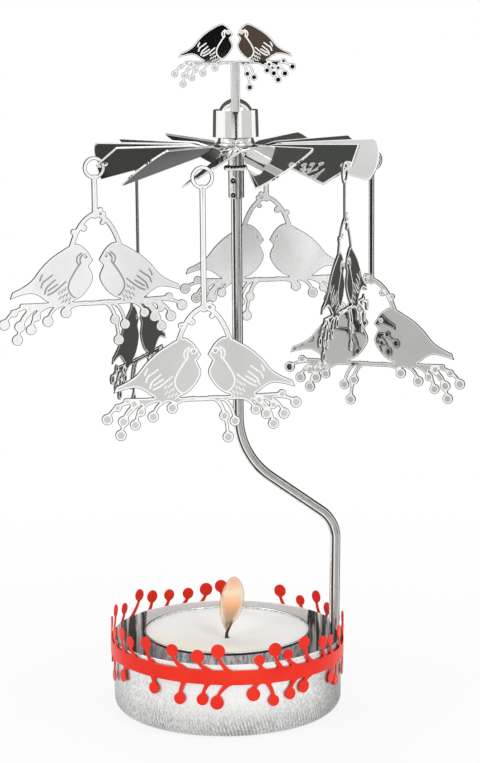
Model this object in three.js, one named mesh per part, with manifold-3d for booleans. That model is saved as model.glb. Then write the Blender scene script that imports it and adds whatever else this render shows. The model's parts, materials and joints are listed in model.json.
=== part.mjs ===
// Candle carousel: a steel cup for one tealight, a bent pole with a needle bearing on top,
// and a vaned rotor that carries six hanging charms and one standing topper.
// Lengths are in millimetres and angles in degrees. +Z is up and the front faces -Y.
// The origin is the middle of the cup's underside.

import * as THREE from 'three';
import { mergeVertices } from 'three/addons/utils/BufferGeometryUtils.js';
import Module from 'manifold-3d';

const wasm = await Module();
wasm.setup();

// Clearances
const pressedGap = 0.15;
const seatGap = 0.3;
const cutOverrun = 1;
const lap = 0.4;

// Cup
const cupRadius = 26.1;
const cupHeight = 17;
const cupWall = 0.35;
const cupFloor = 0.8;
const cupBend = 2.6;
const cupTaper = 0.1;

// Berry band round the cup
const bandGap = 0.25;
const bandThickness = 0.4;
const bandHeight = 3.2;
const bandMiddleHeight = 14.2;
const bandTilt = 1;
const bandBerryRadius = 1.4;
const bandRiseAbove = 4.4;
const bandDropBelow = 3.5;
const bandStalkWidth = 0.8;
const bandStalkLean = 2.2;
const bandStalkBowShare = 0.25;
// Places of the berries along one half of the band, as shares of a half turn from the left
const upBerryShares = [0.07, 0.2, 0.25, 0.31, 0.38, 0.44, 0.5, 0.61, 0.67, 0.72, 0.8, 0.86];
const downBerryShares = [0.17, 0.22, 0.33, 0.4, 0.46, 0.57, 0.63, 0.69, 0.76, 0.84, 0.9];

// Pole
const poleRadius = 1.2;
const poleLean = 0.6;
const poleLowerCorner = 42.8;
const poleUpperCorner = 58.2;
const poleLowerBend = 7.7;
const poleUpperBend = 17;
const spindleX = 3.05;

// Ferrule, its collar and the needle
const ferruleBottom = 116.4;
const ferruleWall = 0.4;
const ferruleLength = 14.6;
const poleInFerrule = 4.8;
const ferruleChamfer = 0.25;
const collarBottom = 122.6;
const collarHeight = 1.1;
const collarWall = 0.85;
const needleRadius = 0.6;
const needleInFerrule = 8.6;
const needlePoint = 2.4;

// Rotor sheet
const hubTop = 128;
const sheet = 0.4;
const hubRim = 6.3;
const vaneCount = 12;
const vaneSlit = 0.9;
const vanePitch = 31;
const vaneDroop = 6.5;
const twistStart = 6;
const twistEnd = 10.4;
const plainShoulder = 30.4;
const plainBulge = 1.3;
const plainTipTurn = 75;
const hangShoulder = 29.4;
const hangRadius = 30.7;
const hangHole = 1;
const hangBridge = 0.5;
const tipBlunt = 0.6;
const rotorTurn = 19.4;

// Pivot cap and clamp sleeve
const capRadius = 3.9;
const capWall = 0.5;
const capTop = 138.4;
const capNeck = 3.4;
const capFlange = 4.4;
const capFlangeHeight = 1.6;
const capFlangeEdgeShare = 0.67;
const capBead = 4.1;
const capBeadHeight = 0.6;
const sleeveBottom = 130;
const sleeveHeight = 5.9;
const sleeveWall = 0.32;
const sleeveFlare = 0.15;
const sleeveSeam = 0.3;
const sleeveNotchWidth = 1.4;
const sleeveNotchDepth = 3.2;

// Topper
const topperScaleShare = 0.635;
const topperBranchTop = 146.8;
const topperPostWidth = 2;
const topperPostFoot = 131.2;
const topperSheet = 0.35;

// Charms
const charmSheet = 0.45;
const ringInner = 1.7;
const ringOuter = 2.45;
const ringOpeningStart = -70;
const ringOpeningEnd = -42;
const stemWidth = 1.2;
const shortStem = 8;
const longStem = 25.2;
const forkHeight = 18.3;
const forkSpread = 5.4;
const forkFoot = 11.9;
const forkWidth = 1.05;
const forkBowShare = 0.67;
const budRadius = 0.75;
// Each bud: its place along a fork's arm, and 1 for the outer or -1 for the inner side
const budShares = [[0.33, 1], [0.67, -1]];
const seatAngleRadial = 18;
const seatSlopeShare = 0.73;
// Each charm: name, place among the hanging vanes, angle of its plane from the vane, and stem
const charmList = [
  ['charm_long_right', 0, 39, longStem],
  ['charm_short_rear', 1, 70, shortStem],
  ['charm_long_rear', 2, 66, longStem],
  ['charm_short_left', 3, 0, shortStem],
  ['charm_long_front', 4, 70, longStem],
  ['charm_short_right', 5, 67, shortStem],
];

// One bird, its beak toward the middle line, as shares of its length and height
const birdLength = 18.8;
const birdHeight = 12.4;
const birdGap = 1.3;
const birdUpperShares = [
  [0, 0.7], [0.085, 0.9], [0.185, 1], [0.275, 0.97], [0.38, 0.885],
  [0.5, 0.77], [0.63, 0.59], [0.735, 0.4], [0.835, 0.295], [0.97, 0.2],
];
const birdLowerShares = [
  [1, 0.085], [0.85, 0.15], [0.73, 0.165], [0.64, 0.1], [0.56, 0.01],
  [0.38, -0.03], [0.19, 0.03], [0.075, 0.18], [0.005, 0.4], [0.055, 0.6],
];

// Branch with its hanging twigs
const branchHalfSpan = 21;
const branchThickness = 1;
const branchSag = 0.5;
const branchStripShare = 0.8;
const twigDrop = 9.4;
const twigWidth = 0.75;
const twigBowShare = 0.8333;
const berryRadius = 1.2;
const smallBerryRadius = 0.85;
// Each twig: where it leaves the branch, where its berry hangs, how low, and its size
const leftTwigShares = [
  [0.1, 0.34, 0.28, 1], [0.24, 0.53, 0.44, 1], [0.34, 0.655, 0.32, 0], [0.42, 0.71, 0.63, 1],
  [0.52, 0.83, 0.54, 1], [0.56, 0.87, 0.87, 1], [0.66, 0.985, 0.46, 1],
];
const rightTwigShares = [
  [0.04, 0.19, 0.48, 1], [0.1, 0.27, 0.95, 1], [0.3, 0.52, 0.37, 1], [0.38, 0.63, 0.48, 1],
  [0.46, 0.71, 0.73, 1], [0.54, 0.81, 0.5, 1], [0.62, 0.93, 0.25, 1],
];

// Tealight
const tealightRadius = 19;
const tealightHeight = 16.6;
const foilWall = 0.3;
const foilFloor = 0.4;
const foilBend = 1.2;
const foilTaper = 0.5;
const foilLip = 0.35;
const waxTop = 17.3;
const waxPoolRadius = 13;
const waxPoolDepth = 1.9;
const waxPoolFloorShare = 0.6;
const wickRadius = 0.55;
const wickRise = 2.8;
const wickLean = 1.1;
const wickBowShare = 0.25;
const wickGap = 0.35;
const sustainerRadius = 6;
const sustainerThickness = 0.35;
const sustainerNeck = 1.5;
const sustainerNeckHeight = 2.4;

// How finely round shapes are divided
const cupSides = 32;
const bandSides = 54;
const tealightSides = 24;
const capSides = 20;
const tubeSides = 16;
const poleSides = 10;
const bendSteps = 7;
const arcSteps = 2;
const berrySteps = 3;
const holeSteps = 10;
const ringSteps = 5;
const outlineSteps = 1;
const stalkSteps = 2;
const neckSteps = 3;
const tipSteps = 2;

const radians = (degrees) => THREE.MathUtils.degToRad(degrees);

// A solid for joining and cutting, made from any closed geometry
function solidOf(geometry) {
  const bare = geometry.clone();
  bare.deleteAttribute('normal');
  bare.deleteAttribute('uv');
  const welded = mergeVertices(bare);
  const corners = welded.index.array;
  const kept = [];
  for (let i = 0; i < corners.length; i += 3) {
    const [a, b, c] = [corners[i], corners[i + 1], corners[i + 2]];
    if (a !== b && b !== c && c !== a) kept.push(a, b, c);
  }
  const mesh = new wasm.Mesh({
    numProp: 3,
    vertProperties: new Float32Array(welded.attributes.position.array),
    triVerts: new Uint32Array(kept),
  });
  return new wasm.Manifold(mesh);
}

function geometryOf(solid) {
  const mesh = solid.getMesh();
  const geometry = new THREE.BufferGeometry();
  geometry.setAttribute('position', new THREE.BufferAttribute(new Float32Array(mesh.vertProperties), 3));
  geometry.setIndex(new THREE.BufferAttribute(new Uint32Array(mesh.triVerts), 1));
  geometry.computeVertexNormals();
  return geometry;
}

// Faces that lie in one plane after a join or a cut become one face
function merged(solid) {
  return geometryOf(solid.asOriginal().simplify());
}

function join(geometries) {
  const [first, ...others] = geometries.map(solidOf);
  return merged(others.reduce((whole, piece) => whole.add(piece), first));
}

function cut(geometry, tools) {
  return merged(tools.map(solidOf).reduce((left, tool) => left.subtract(tool), solidOf(geometry)));
}

// A turned piece: the profile lists radius and height, going up on its outside
function turned(profile, sides) {
  const points = profile.map(([radius, height]) => new THREE.Vector2(radius, height));
  return new THREE.LatheGeometry(points, sides).rotateX(Math.PI / 2);
}

function turnedPath(side, sides) {
  return turned(side.getPoints(arcSteps).map((point) => [Math.max(point.x, 0), point.y]), sides);
}

// A piece of sheet standing in the XZ plane, centred on it, with its front toward -Y
function standingSheet(shape, thickness, curveSegments) {
  const settings = { depth: thickness, bevelEnabled: false, curveSegments };
  return new THREE.ExtrudeGeometry(shape, settings).translate(0, 0, -thickness / 2).rotateX(Math.PI / 2);
}

function shapeThrough(points) {
  const shape = new THREE.Shape();
  points.forEach(([x, y], i) => (i ? shape.lineTo(x, y) : shape.moveTo(x, y)));
  shape.closePath();
  return shape;
}

function discShape(x, y, radius) {
  const shape = new THREE.Shape();
  shape.absarc(x, y, radius, 0, 2 * Math.PI, false);
  return shape;
}

// A narrow strip along a curve, as wide at its end as the end share says
function stripShape(curve, width, endShare, steps) {
  const left = [];
  const right = [];
  for (let i = 0; i <= steps; i += 1) {
    const share = i / steps;
    const middle = curve.getPoint(share);
    const along = curve.getTangent(share);
    const half = width * (1 + (endShare - 1) * share) / 2;
    left.push([middle.x - along.y * half, middle.y + along.x * half]);
    right.unshift([middle.x + along.y * half, middle.y - along.x * half]);
  }
  return shapeThrough([...left, ...right]);
}

// A closed solid through a row of four-cornered sections
function loft(sections) {
  const corners = 4;
  const positions = sections.flat(2);
  const faces = [];
  for (let s = 0; s < sections.length - 1; s += 1) {
    for (let i = 0; i < corners; i += 1) {
      const a = s * corners + i;
      const b = s * corners + (i + 1) % corners;
      faces.push(a, b, b + corners, a, b + corners, a + corners);
    }
  }
  const last = (sections.length - 1) * corners;
  faces.push(0, 2, 1, 0, 3, 2, last, last + 1, last + 2, last, last + 2, last + 3);
  const geometry = new THREE.BufferGeometry();
  geometry.setAttribute('position', new THREE.Float32BufferAttribute(positions, 3));
  geometry.setIndex(faces);
  geometry.computeVertexNormals();
  return geometry;
}

const model = new THREE.Group();

function addPiece(name, geometry, [color, roughness, metalness], group = model) {
  const material = new THREE.MeshStandardMaterial({ color, roughness, metalness });
  const mesh = new THREE.Mesh(geometry, material);
  mesh.name = name;
  group.add(mesh);
  return mesh;
}

// Colour, roughness and metalness of each kind of surface
const satinSteel = [0xb9b8b5, 0.38, 1];
const brightSteel = [0xd9dadb, 0.12, 1];
const redPaint = [0xe2321f, 0.4, 0.05];
const foil = [0xc9c9c8, 0.3, 1];
const candleWax = [0xf4f0e8, 0.5, 0];
const charredWick = [0x2c2521, 0.95, 0];

// Cup: flat floor, rounded bend, almost straight wall and a round-edged rim
const cupBendRadius = cupRadius - cupTaper;
const cupFoot = cupBendRadius - cupBend;
const cupInnerBend = cupBend - cupWall;

function cupGeometry() {
  const side = new THREE.Path();
  side.moveTo(0, 0);
  side.lineTo(cupFoot, 0);
  side.absarc(cupFoot, cupBend, cupBend, -Math.PI / 2, 0, false);
  side.absarc(cupRadius - cupWall / 2, cupHeight - cupWall / 2, cupWall / 2, 0, Math.PI, false);
  side.absarc(cupFoot, cupFloor + cupInnerBend, cupInnerBend, 0, -Math.PI / 2, true);
  side.lineTo(0, cupFloor);
  return turnedPath(side, cupSides);
}

// Band: a many-sided ring with berries on curved stalks above and below it.
// Each stalk grows from the middle of one side and lies flush with it.
const bandInner = cupRadius + bandGap;
const bandFlatShare = Math.cos(Math.PI / bandSides);

function bandSprig(share, halfTurn, upward) {
  const sign = upward ? 1 : -1;
  const reach = upward ? bandRiseAbove : bandDropBelow;
  const root = sign * (bandHeight - bandStalkWidth) / 2;
  const tip = sign * (bandHeight / 2 + reach);
  const stalk = new THREE.QuadraticBezierCurve(
    new THREE.Vector2(0, root),
    new THREE.Vector2(-bandStalkLean * bandStalkBowShare, (root + tip) / 2),
    new THREE.Vector2(-bandStalkLean, tip),
  );
  const thickness = bandThickness * bandFlatShare;
  const middle = (bandInner + bandThickness / 2) * bandFlatShare;
  const side = Math.round((share + halfTurn) * bandSides / 2) + 1 / 2;
  const angle = side * 2 * Math.PI / bandSides - Math.PI / 2;
  return [
    standingSheet(stripShape(stalk, bandStalkWidth, 1, stalkSteps), thickness, outlineSteps),
    standingSheet(discShape(-bandStalkLean, tip, bandBerryRadius), thickness, berrySteps),
  ].map((piece) => piece.translate(0, -middle, 0).rotateZ(angle));
}

function bandGeometry() {
  const half = bandHeight / 2;
  const outer = bandInner + bandThickness;
  const profile = [[bandInner, -half], [outer, -half], [outer, half], [bandInner, half], [bandInner, -half]];
  const pieces = [turned(profile, bandSides)];
  for (const halfTurn of [0, 1]) {
    upBerryShares.forEach((share) => pieces.push(...bandSprig(share, halfTurn, true)));
    downBerryShares.forEach((share) => pieces.push(...bandSprig(share, halfTurn, false)));
  }
  return join(pieces);
}

// Pole: one rod with two bends, upright inside the cup's wall and upright again on the spindle line
const poleFootX = cupBendRadius - cupWall - pressedGap - poleRadius;
const poleFootZ = cupFloor + cupBend / 2;
const poleTop = ferruleBottom + poleInFerrule;

class BentRod extends THREE.Curve {
  // Stops lie at the two ends and round each bend, so straight stretches need no steps
  constructor(stops) {
    super();
    this.stops = stops;
  }

  getPoint(share, target = new THREE.Vector3()) {
    const place = Math.min(Math.max(share, 0), 1) * (this.stops.length - 1);
    const before = Math.min(Math.floor(place), this.stops.length - 2);
    return target.lerpVectors(this.stops[before], this.stops[before + 1], place - before);
  }

  getUtoTmapping(share) {
    return share;
  }

  getTangentAt(share, target = new THREE.Vector3()) {
    const index = Math.round(share * (this.stops.length - 1));
    const before = this.stops[Math.max(index - 1, 0)];
    const after = this.stops[Math.min(index + 1, this.stops.length - 1)];
    const here = this.stops[index];
    const into = here.clone().sub(before).normalize();
    const out = after.clone().sub(here).normalize();
    return target.copy(into).add(out).normalize();
  }
}

function bendStops(from, corner, to, radius) {
  const into = corner.clone().sub(from).normalize();
  const out = to.clone().sub(corner).normalize();
  const half = Math.acos(into.dot(out)) / 2;
  const setback = radius * Math.tan(half);
  const start = corner.clone().addScaledVector(into, -setback);
  const inward = out.clone().sub(into).normalize();
  const centre = corner.clone().addScaledVector(inward, radius / Math.cos(half));
  const axis = into.clone().cross(out).normalize();
  const stops = [];
  for (let i = 0; i <= bendSteps; i += 1) {
    const arm = start.clone().sub(centre).applyAxisAngle(axis, 2 * half * i / bendSteps);
    stops.push(centre.clone().add(arm));
  }
  return stops;
}

function poleGeometry() {
  const foot = new THREE.Vector3(poleFootX, 0, poleFootZ);
  const lower = new THREE.Vector3(poleFootX + poleLean, 0, poleLowerCorner);
  const upper = new THREE.Vector3(spindleX, 0, poleUpperCorner);
  const top = new THREE.Vector3(spindleX, 0, poleTop);
  const stops = [
    foot,
    ...bendStops(foot, lower, upper, poleLowerBend),
    ...bendStops(lower, upper, top, poleUpperBend),
    top,
  ];
  const section = [];
  for (let i = 0; i < poleSides; i += 1) {
    const angle = 2 * Math.PI * i / poleSides;
    section.push([poleRadius * Math.cos(angle), poleRadius * Math.sin(angle)]);
  }
  const settings = { steps: stops.length - 1, bevelEnabled: false, extrudePath: new BentRod(stops) };
  return new THREE.ExtrudeGeometry(shapeThrough(section), settings);
}

// Ferrule: a tube crimped on the pole's end, bored narrower above for the needle
const ferruleBore = poleRadius + pressedGap;
const ferruleRadius = ferruleBore + ferruleWall;
const ferruleTop = ferruleBottom + ferruleLength;
const needleBore = needleRadius + pressedGap;
const needleSeat = poleTop + seatGap;

function ferruleGeometry() {
  return turned([
    [ferruleBore, ferruleBottom],
    [ferruleRadius, ferruleBottom],
    [ferruleRadius, ferruleTop - ferruleChamfer],
    [ferruleRadius - ferruleChamfer, ferruleTop],
    [needleBore, ferruleTop],
    [needleBore, needleSeat],
    [ferruleBore, needleSeat],
    [ferruleBore, ferruleBottom],
  ], tubeSides);
}

function collarGeometry() {
  const bore = ferruleRadius + pressedGap;
  const round = collarHeight / 2;
  const side = new THREE.Path();
  side.moveTo(bore, collarBottom);
  side.lineTo(bore + collarWall - round, collarBottom);
  side.absarc(bore + collarWall - round, collarBottom + round, round, -Math.PI / 2, Math.PI / 2, false);
  side.lineTo(bore, collarBottom + collarHeight);
  side.lineTo(bore, collarBottom);
  return turnedPath(side, tubeSides);
}

const domeCentre = capTop - capRadius;
const needleTip = capTop - capWall - seatGap;

function needleGeometry() {
  return turned([
    [0, ferruleTop - needleInFerrule],
    [needleRadius, ferruleTop - needleInFerrule],
    [needleRadius, needleTip - needlePoint],
    [0, needleTip],
  ], tubeSides / 2);
}

// Rotor: one sheet cut into twelve vanes, each twisted at its neck and drooping a little.
// Every second vane has a pointed tip with a hole for a charm.
const vaneHalfAngle = 180 / vaneCount;
const hubMiddle = hubTop - sheet / 2;
const hubHole = capNeck + pressedGap;
const tipRadius = hangRadius + hangHole + hangBridge;

const vaneHalfWidth = (radius) => radius * Math.tan(radians(vaneHalfAngle)) - vaneSlit / 2;
const vaneHeight = (radius) => hubMiddle - Math.tan(radians(vaneDroop)) * Math.max(radius - twistStart, 0);
const vaneTwist = (radius) => vanePitch * THREE.MathUtils.smoothstep(radius, twistStart, twistEnd);

function vaneSection(radius, halfWidth) {
  const twist = radians(vaneTwist(radius));
  const height = vaneHeight(radius);
  const [across, up] = [Math.cos(twist), Math.sin(twist)];
  const corner = (side, face) => [
    radius,
    side * halfWidth * across - face * up * sheet / 2,
    height + side * halfWidth * up + face * across * sheet / 2,
  ];
  return [corner(-1, -1), corner(1, -1), corner(1, 1), corner(-1, 1)];
}

function vaneGeometry(hanging) {
  const start = twistStart - lap;
  const sections = [vaneSection(start, vaneHalfWidth(start))];
  for (let i = 0; i <= neckSteps; i += 1) {
    const radius = twistStart + (twistEnd - twistStart) * i / neckSteps;
    sections.push(vaneSection(radius, vaneHalfWidth(radius)));
  }
  if (hanging) {
    sections.push(vaneSection(hangShoulder, vaneHalfWidth(hangShoulder)));
    sections.push(vaneSection(tipRadius, tipBlunt));
    const tool = new THREE.CylinderGeometry(hangHole, hangHole, sheet + 2 * cutOverrun, holeSteps);
    tool.rotateX(Math.PI / 2 + radians(vanePitch)).translate(hangRadius, 0, vaneHeight(hangRadius));
    return cut(loft(sections), [tool]);
  }
  const full = vaneHalfWidth(plainShoulder);
  for (let i = 0; i <= tipSteps; i += 1) {
    const angle = radians(plainTipTurn) * i / tipSteps;
    sections.push(vaneSection(plainShoulder + plainBulge * Math.sin(angle), full * Math.cos(angle)));
  }
  return loft(sections);
}

function rotorGeometry() {
  const hub = [[hubHole, hubTop - sheet], [hubRim, hubTop - sheet], [hubRim, hubTop], [hubHole, hubTop]];
  const pieces = [turned([...hub, hub[0]], 2 * vaneCount)];
  for (let i = 0; i < vaneCount; i += 1) {
    const angle = rotorTurn + i * 2 * vaneHalfAngle;
    pieces.push(vaneGeometry(i % 2 === 0).rotateZ(radians(angle)));
  }
  return join(pieces);
}

// Pivot cap: a closed dome over the needle, with a neck through the hub, a flange and a rolled bead
function capGeometry() {
  const inner = capNeck - capWall;
  const domeInner = capRadius - capWall;
  const under = hubTop - sheet - pressedGap;
  const side = new THREE.Path();
  side.moveTo(0, domeCentre + domeInner);
  side.absarc(0, domeCentre, domeInner, Math.PI / 2, 0, true);
  side.lineTo(domeInner, hubTop + capFlangeHeight);
  side.lineTo(inner, hubTop + capFlangeHeight / 2);
  side.lineTo(inner, under - capBeadHeight);
  side.lineTo(capBead, under - capBeadHeight);
  side.lineTo(capBead, under);
  side.lineTo(capNeck, under);
  side.lineTo(capNeck, hubTop);
  side.lineTo(capFlange, hubTop);
  side.lineTo(capFlange, hubTop + capFlangeHeight * capFlangeEdgeShare);
  side.lineTo(capRadius, hubTop + capFlangeHeight);
  side.absarc(0, domeCentre, capRadius, 0, Math.PI / 2, false);
  return turnedPath(side, capSides);
}

// Clamp sleeve: a split ring round the cap that grips the topper's post
const postFront = capRadius + pressedGap + topperSheet;
const sleeveInner = Math.hypot(postFront, topperPostWidth / 2) + pressedGap;

function sleeveGeometry() {
  const top = sleeveBottom + sleeveHeight;
  const outer = sleeveInner + sleeveWall;
  const ring = turned([
    [sleeveInner, sleeveBottom],
    [outer + sleeveFlare, sleeveBottom],
    [outer, top],
    [sleeveInner, top],
    [sleeveInner, sleeveBottom],
  ], capSides);
  const slotDepth = sleeveWall + sleeveFlare + 2 * cutOverrun;
  const slot = new THREE.BoxGeometry(sleeveSeam, slotDepth, sleeveHeight + 2 * cutOverrun);
  slot.translate(0, -(sleeveInner + outer) / 2, sleeveBottom + sleeveHeight / 2);
  const notch = standingSheet(shapeThrough([
    [0, top - sleeveNotchDepth],
    [sleeveNotchWidth / 2, top],
    [sleeveNotchWidth / 2, top + cutOverrun],
    [-sleeveNotchWidth / 2, top + cutOverrun],
    [-sleeveNotchWidth / 2, top],
  ]), slotDepth, outlineSteps).translate(0, -(sleeveInner + outer) / 2, 0);
  return cut(ring, [slot, notch]);
}

// The pair of birds on a berried branch, standing in the XZ plane with the branch's top at height zero
function birdShape(side, size) {
  const at = ([along, up]) => new THREE.Vector2(
    side * (birdGap / 2 + along * birdLength) * size,
    up * birdHeight * size,
  );
  const upper = birdUpperShares.map(at);
  const lower = birdLowerShares.map(at);
  const shape = new THREE.Shape();
  shape.moveTo(upper[0].x, upper[0].y);
  shape.splineThru(upper.slice(1));
  shape.lineTo(lower[0].x, lower[0].y);
  shape.splineThru(lower.slice(1));
  shape.closePath();
  return shape;
}

function branchShape(size) {
  const half = branchHalfSpan * branchStripShare * size;
  const middle = -branchThickness * size / 2;
  const curve = new THREE.QuadraticBezierCurve(
    new THREE.Vector2(-half, middle),
    new THREE.Vector2(0, middle - branchSag * size),
    new THREE.Vector2(half, middle),
  );
  return stripShape(curve, branchThickness * size, 1, stalkSteps);
}

function twigPieces(side, [root, across, down, full], size, thickness) {
  const span = side * branchHalfSpan * size;
  const middle = -branchThickness * size / 2;
  const drop = -down * twigDrop * size;
  const berry = full ? berryRadius : smallBerryRadius;
  const stalk = new THREE.QuadraticBezierCurve(
    new THREE.Vector2(root * span, middle),
    new THREE.Vector2((root + (across - root) * twigBowShare) * span, middle),
    new THREE.Vector2(across * span, drop),
  );
  return [
    standingSheet(stripShape(stalk, twigWidth * size, 1, stalkSteps), thickness, outlineSteps),
    standingSheet(discShape(across * span, drop, berry * size), thickness, berrySteps),
  ];
}

function birdsOnBranch(size, thickness) {
  const pieces = [-1, 1].map((side) => standingSheet(birdShape(side, size), thickness, outlineSteps));
  pieces.push(standingSheet(branchShape(size), thickness, outlineSteps));
  leftTwigShares.forEach((twig) => pieces.push(...twigPieces(-1, twig, size, thickness)));
  rightTwigShares.forEach((twig) => pieces.push(...twigPieces(1, twig, size, thickness)));
  return pieces;
}

function topperGeometry() {
  const half = topperPostWidth / 2;
  const foot = topperPostFoot - topperBranchTop;
  const overlap = -branchThickness * topperScaleShare / 2;
  const post = shapeThrough([[-half, foot], [half, foot], [half, overlap], [-half, overlap]]);
  const pieces = birdsOnBranch(topperScaleShare, topperSheet);
  pieces.push(standingSheet(post, topperSheet, outlineSteps));
  return join(pieces);
}

// Charm: open ring, stem and forked hanger over the pair of birds. Its origin is the point
// inside the top of the ring, where it hangs.
function forkPieces() {
  const pieces = [];
  for (const side of [-1, 1]) {
    const arm = new THREE.QuadraticBezierCurve(
      new THREE.Vector2(0, forkHeight + forkWidth / 2),
      new THREE.Vector2(side * forkSpread * forkBowShare, forkHeight - forkWidth / 2),
      new THREE.Vector2(side * forkSpread, forkFoot),
    );
    pieces.push(stripShape(arm, forkWidth, 1, stalkSteps));
    for (const [share, turn] of budShares) {
      const middle = arm.getPoint(share);
      const along = arm.getTangent(share);
      const reach = side * turn * (forkWidth + budRadius) / 2;
      pieces.push(discShape(middle.x - along.y * -reach, middle.y + along.x * -reach, budRadius));
    }
  }
  return pieces.map((shape) => standingSheet(shape, charmSheet, berrySteps));
}

function ringShape(height) {
  const shape = new THREE.Shape();
  const [start, end] = [radians(ringOpeningEnd), radians(ringOpeningStart + 360)];
  shape.absarc(0, height, ringOuter, start, end, false);
  shape.absarc(0, height, ringInner, end, start, true);
  shape.closePath();
  return shape;
}

function charmGeometry(stem) {
  const ringCentre = forkHeight + stem + ringOuter;
  const half = stemWidth / 2;
  const stemTop = ringCentre - (ringInner + ringOuter) / 2;
  const pieces = birdsOnBranch(1, charmSheet);
  pieces.push(...forkPieces());
  pieces.push(standingSheet(
    shapeThrough([[-half, forkHeight], [half, forkHeight], [half, stemTop], [-half, stemTop]]),
    charmSheet,
    outlineSteps,
  ));
  pieces.push(standingSheet(ringShape(ringCentre), charmSheet, ringSteps));
  return join(pieces).translate(0, 0, -(ringCentre + ringInner));
}

// The ring passes through the hole and round the tip, so its centre lies one ring radius
// away from the hole, outward and down, at an angle that follows the slope of the vane there.
function placeCharm(mesh, place, fromVane) {
  const vaneAngle = rotorTurn + place * 4 * vaneHalfAngle;
  const outward = radians(vaneAngle - fromVane);
  const slope = Math.atan(Math.sin(radians(fromVane)) * Math.tan(radians(vanePitch)));
  const seatAngle = radians(seatAngleRadial) + seatSlopeShare * slope;
  const reach = (ringInner + ringOuter) / 2;
  const hole = new THREE.Vector3(hangRadius, 0, vaneHeight(hangRadius));
  hole.applyAxisAngle(new THREE.Vector3(0, 0, 1), radians(vaneAngle));
  mesh.position.set(
    spindleX + hole.x + reach * Math.cos(seatAngle) * Math.cos(outward),
    hole.y + reach * Math.cos(seatAngle) * Math.sin(outward),
    hole.z - reach * Math.sin(seatAngle) + ringInner,
  );
  mesh.rotation.z = outward + Math.PI;
}

// Tealight: foil cup, wax with a shallow pool, a wick and the metal foot that holds it
const tealightFloor = cupFloor + seatGap;
const foilTop = tealightFloor + tealightHeight;
const foilInner = tealightRadius - foilTaper - foilWall;
const waxBottom = tealightFloor + foilFloor + seatGap;

function foilGeometry() {
  const low = tealightRadius - foilTaper;
  const side = new THREE.Path();
  side.moveTo(0, tealightFloor);
  side.lineTo(low - foilBend, tealightFloor);
  side.absarc(low - foilBend, tealightFloor + foilBend, foilBend, -Math.PI / 2, 0, false);
  side.absarc(tealightRadius - foilLip / 2, foilTop - foilLip / 2, foilLip / 2, 0, Math.PI, false);
  side.lineTo(foilInner, tealightFloor + foilBend);
  side.lineTo(low - foilBend, tealightFloor + foilFloor);
  side.lineTo(0, tealightFloor + foilFloor);
  return turnedPath(side, tealightSides);
}

function waxGeometry() {
  const outer = foilInner - seatGap;
  const rim = tealightRadius - foilLip - seatGap;
  const bore = wickRadius + wickGap;
  const recessTop = waxBottom + sustainerThickness + seatGap;
  const neckTop = waxBottom + sustainerNeckHeight + seatGap;
  const pool = waxTop - waxPoolDepth;
  const profile = [
    [sustainerRadius + seatGap, waxBottom],
    [outer - foilBend, waxBottom],
    [outer, waxBottom + foilBend],
    [rim, waxTop],
    [waxPoolRadius, waxTop],
    [waxPoolRadius * waxPoolFloorShare, pool],
    [bore, pool],
    [bore, neckTop],
    [sustainerNeck + seatGap, neckTop],
    [sustainerNeck + seatGap, recessTop],
    [sustainerRadius + seatGap, recessTop],
  ];
  return turned([...profile, profile[0]], tealightSides);
}

const wickFoot = waxBottom + sustainerThickness / 2;

function wickGeometry() {
  const top = waxTop + wickRise;
  const path = new THREE.CatmullRomCurve3([
    new THREE.Vector3(0, 0, wickFoot + sustainerThickness),
    new THREE.Vector3(0, 0, (wickFoot + waxTop) / 2),
    new THREE.Vector3(0, 0, waxTop - waxPoolDepth),
    new THREE.Vector3(wickLean * wickBowShare, 0, (waxTop + top) / 2),
    new THREE.Vector3(wickLean, 0, top),
  ]);
  const section = discShape(0, 0, wickRadius);
  const settings = { steps: 2 * bendSteps, bevelEnabled: false, extrudePath: path, curveSegments: berrySteps };
  return new THREE.ExtrudeGeometry(section, settings);
}

function sustainerGeometry() {
  const bore = wickRadius + pressedGap;
  const floor = tealightFloor + foilFloor + pressedGap;
  const profile = [
    [bore, floor],
    [sustainerRadius, floor],
    [sustainerRadius, floor + sustainerThickness],
    [sustainerNeck, floor + sustainerThickness],
    [sustainerNeck - sustainerThickness, floor + sustainerNeckHeight],
    [bore, floor + sustainerNeckHeight],
  ];
  return turned([...profile, profile[0]], tealightSides / 2);
}

addPiece('cup', cupGeometry(), satinSteel);
const band = addPiece('berry_band', bandGeometry(), redPaint);
band.position.z = bandMiddleHeight;
band.rotation.y = radians(bandTilt);
addPiece('pole', poleGeometry(), brightSteel);

const spindle = new THREE.Group();
spindle.position.x = spindleX;
model.add(spindle);
addPiece('ferrule', ferruleGeometry(), brightSteel, spindle);
addPiece('ferrule_collar', collarGeometry(), brightSteel, spindle);
addPiece('spindle_pin', needleGeometry(), satinSteel, spindle);
addPiece('rotor_vanes', rotorGeometry(), brightSteel, spindle);
addPiece('pivot_cap', capGeometry(), brightSteel, spindle);
addPiece('clamp_sleeve', sleeveGeometry(), brightSteel, spindle);
const topper = addPiece('topper', topperGeometry(), brightSteel, spindle);
topper.position.set(0, topperSheet / 2 - postFront, topperBranchTop);

const charmGeometries = new Map([shortStem, longStem].map((stem) => [stem, charmGeometry(stem)]));
for (const [name, place, fromVane, stem] of charmList) {
  placeCharm(addPiece(name, charmGeometries.get(stem), brightSteel), place, fromVane);
}

addPiece('tealight_cup', foilGeometry(), foil);
addPiece('tealight_wax', waxGeometry(), candleWax);
addPiece('wick', wickGeometry(), charredWick);
addPiece('wick_sustainer', sustainerGeometry(), foil);

export default model;
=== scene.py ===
import json
import math

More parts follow.
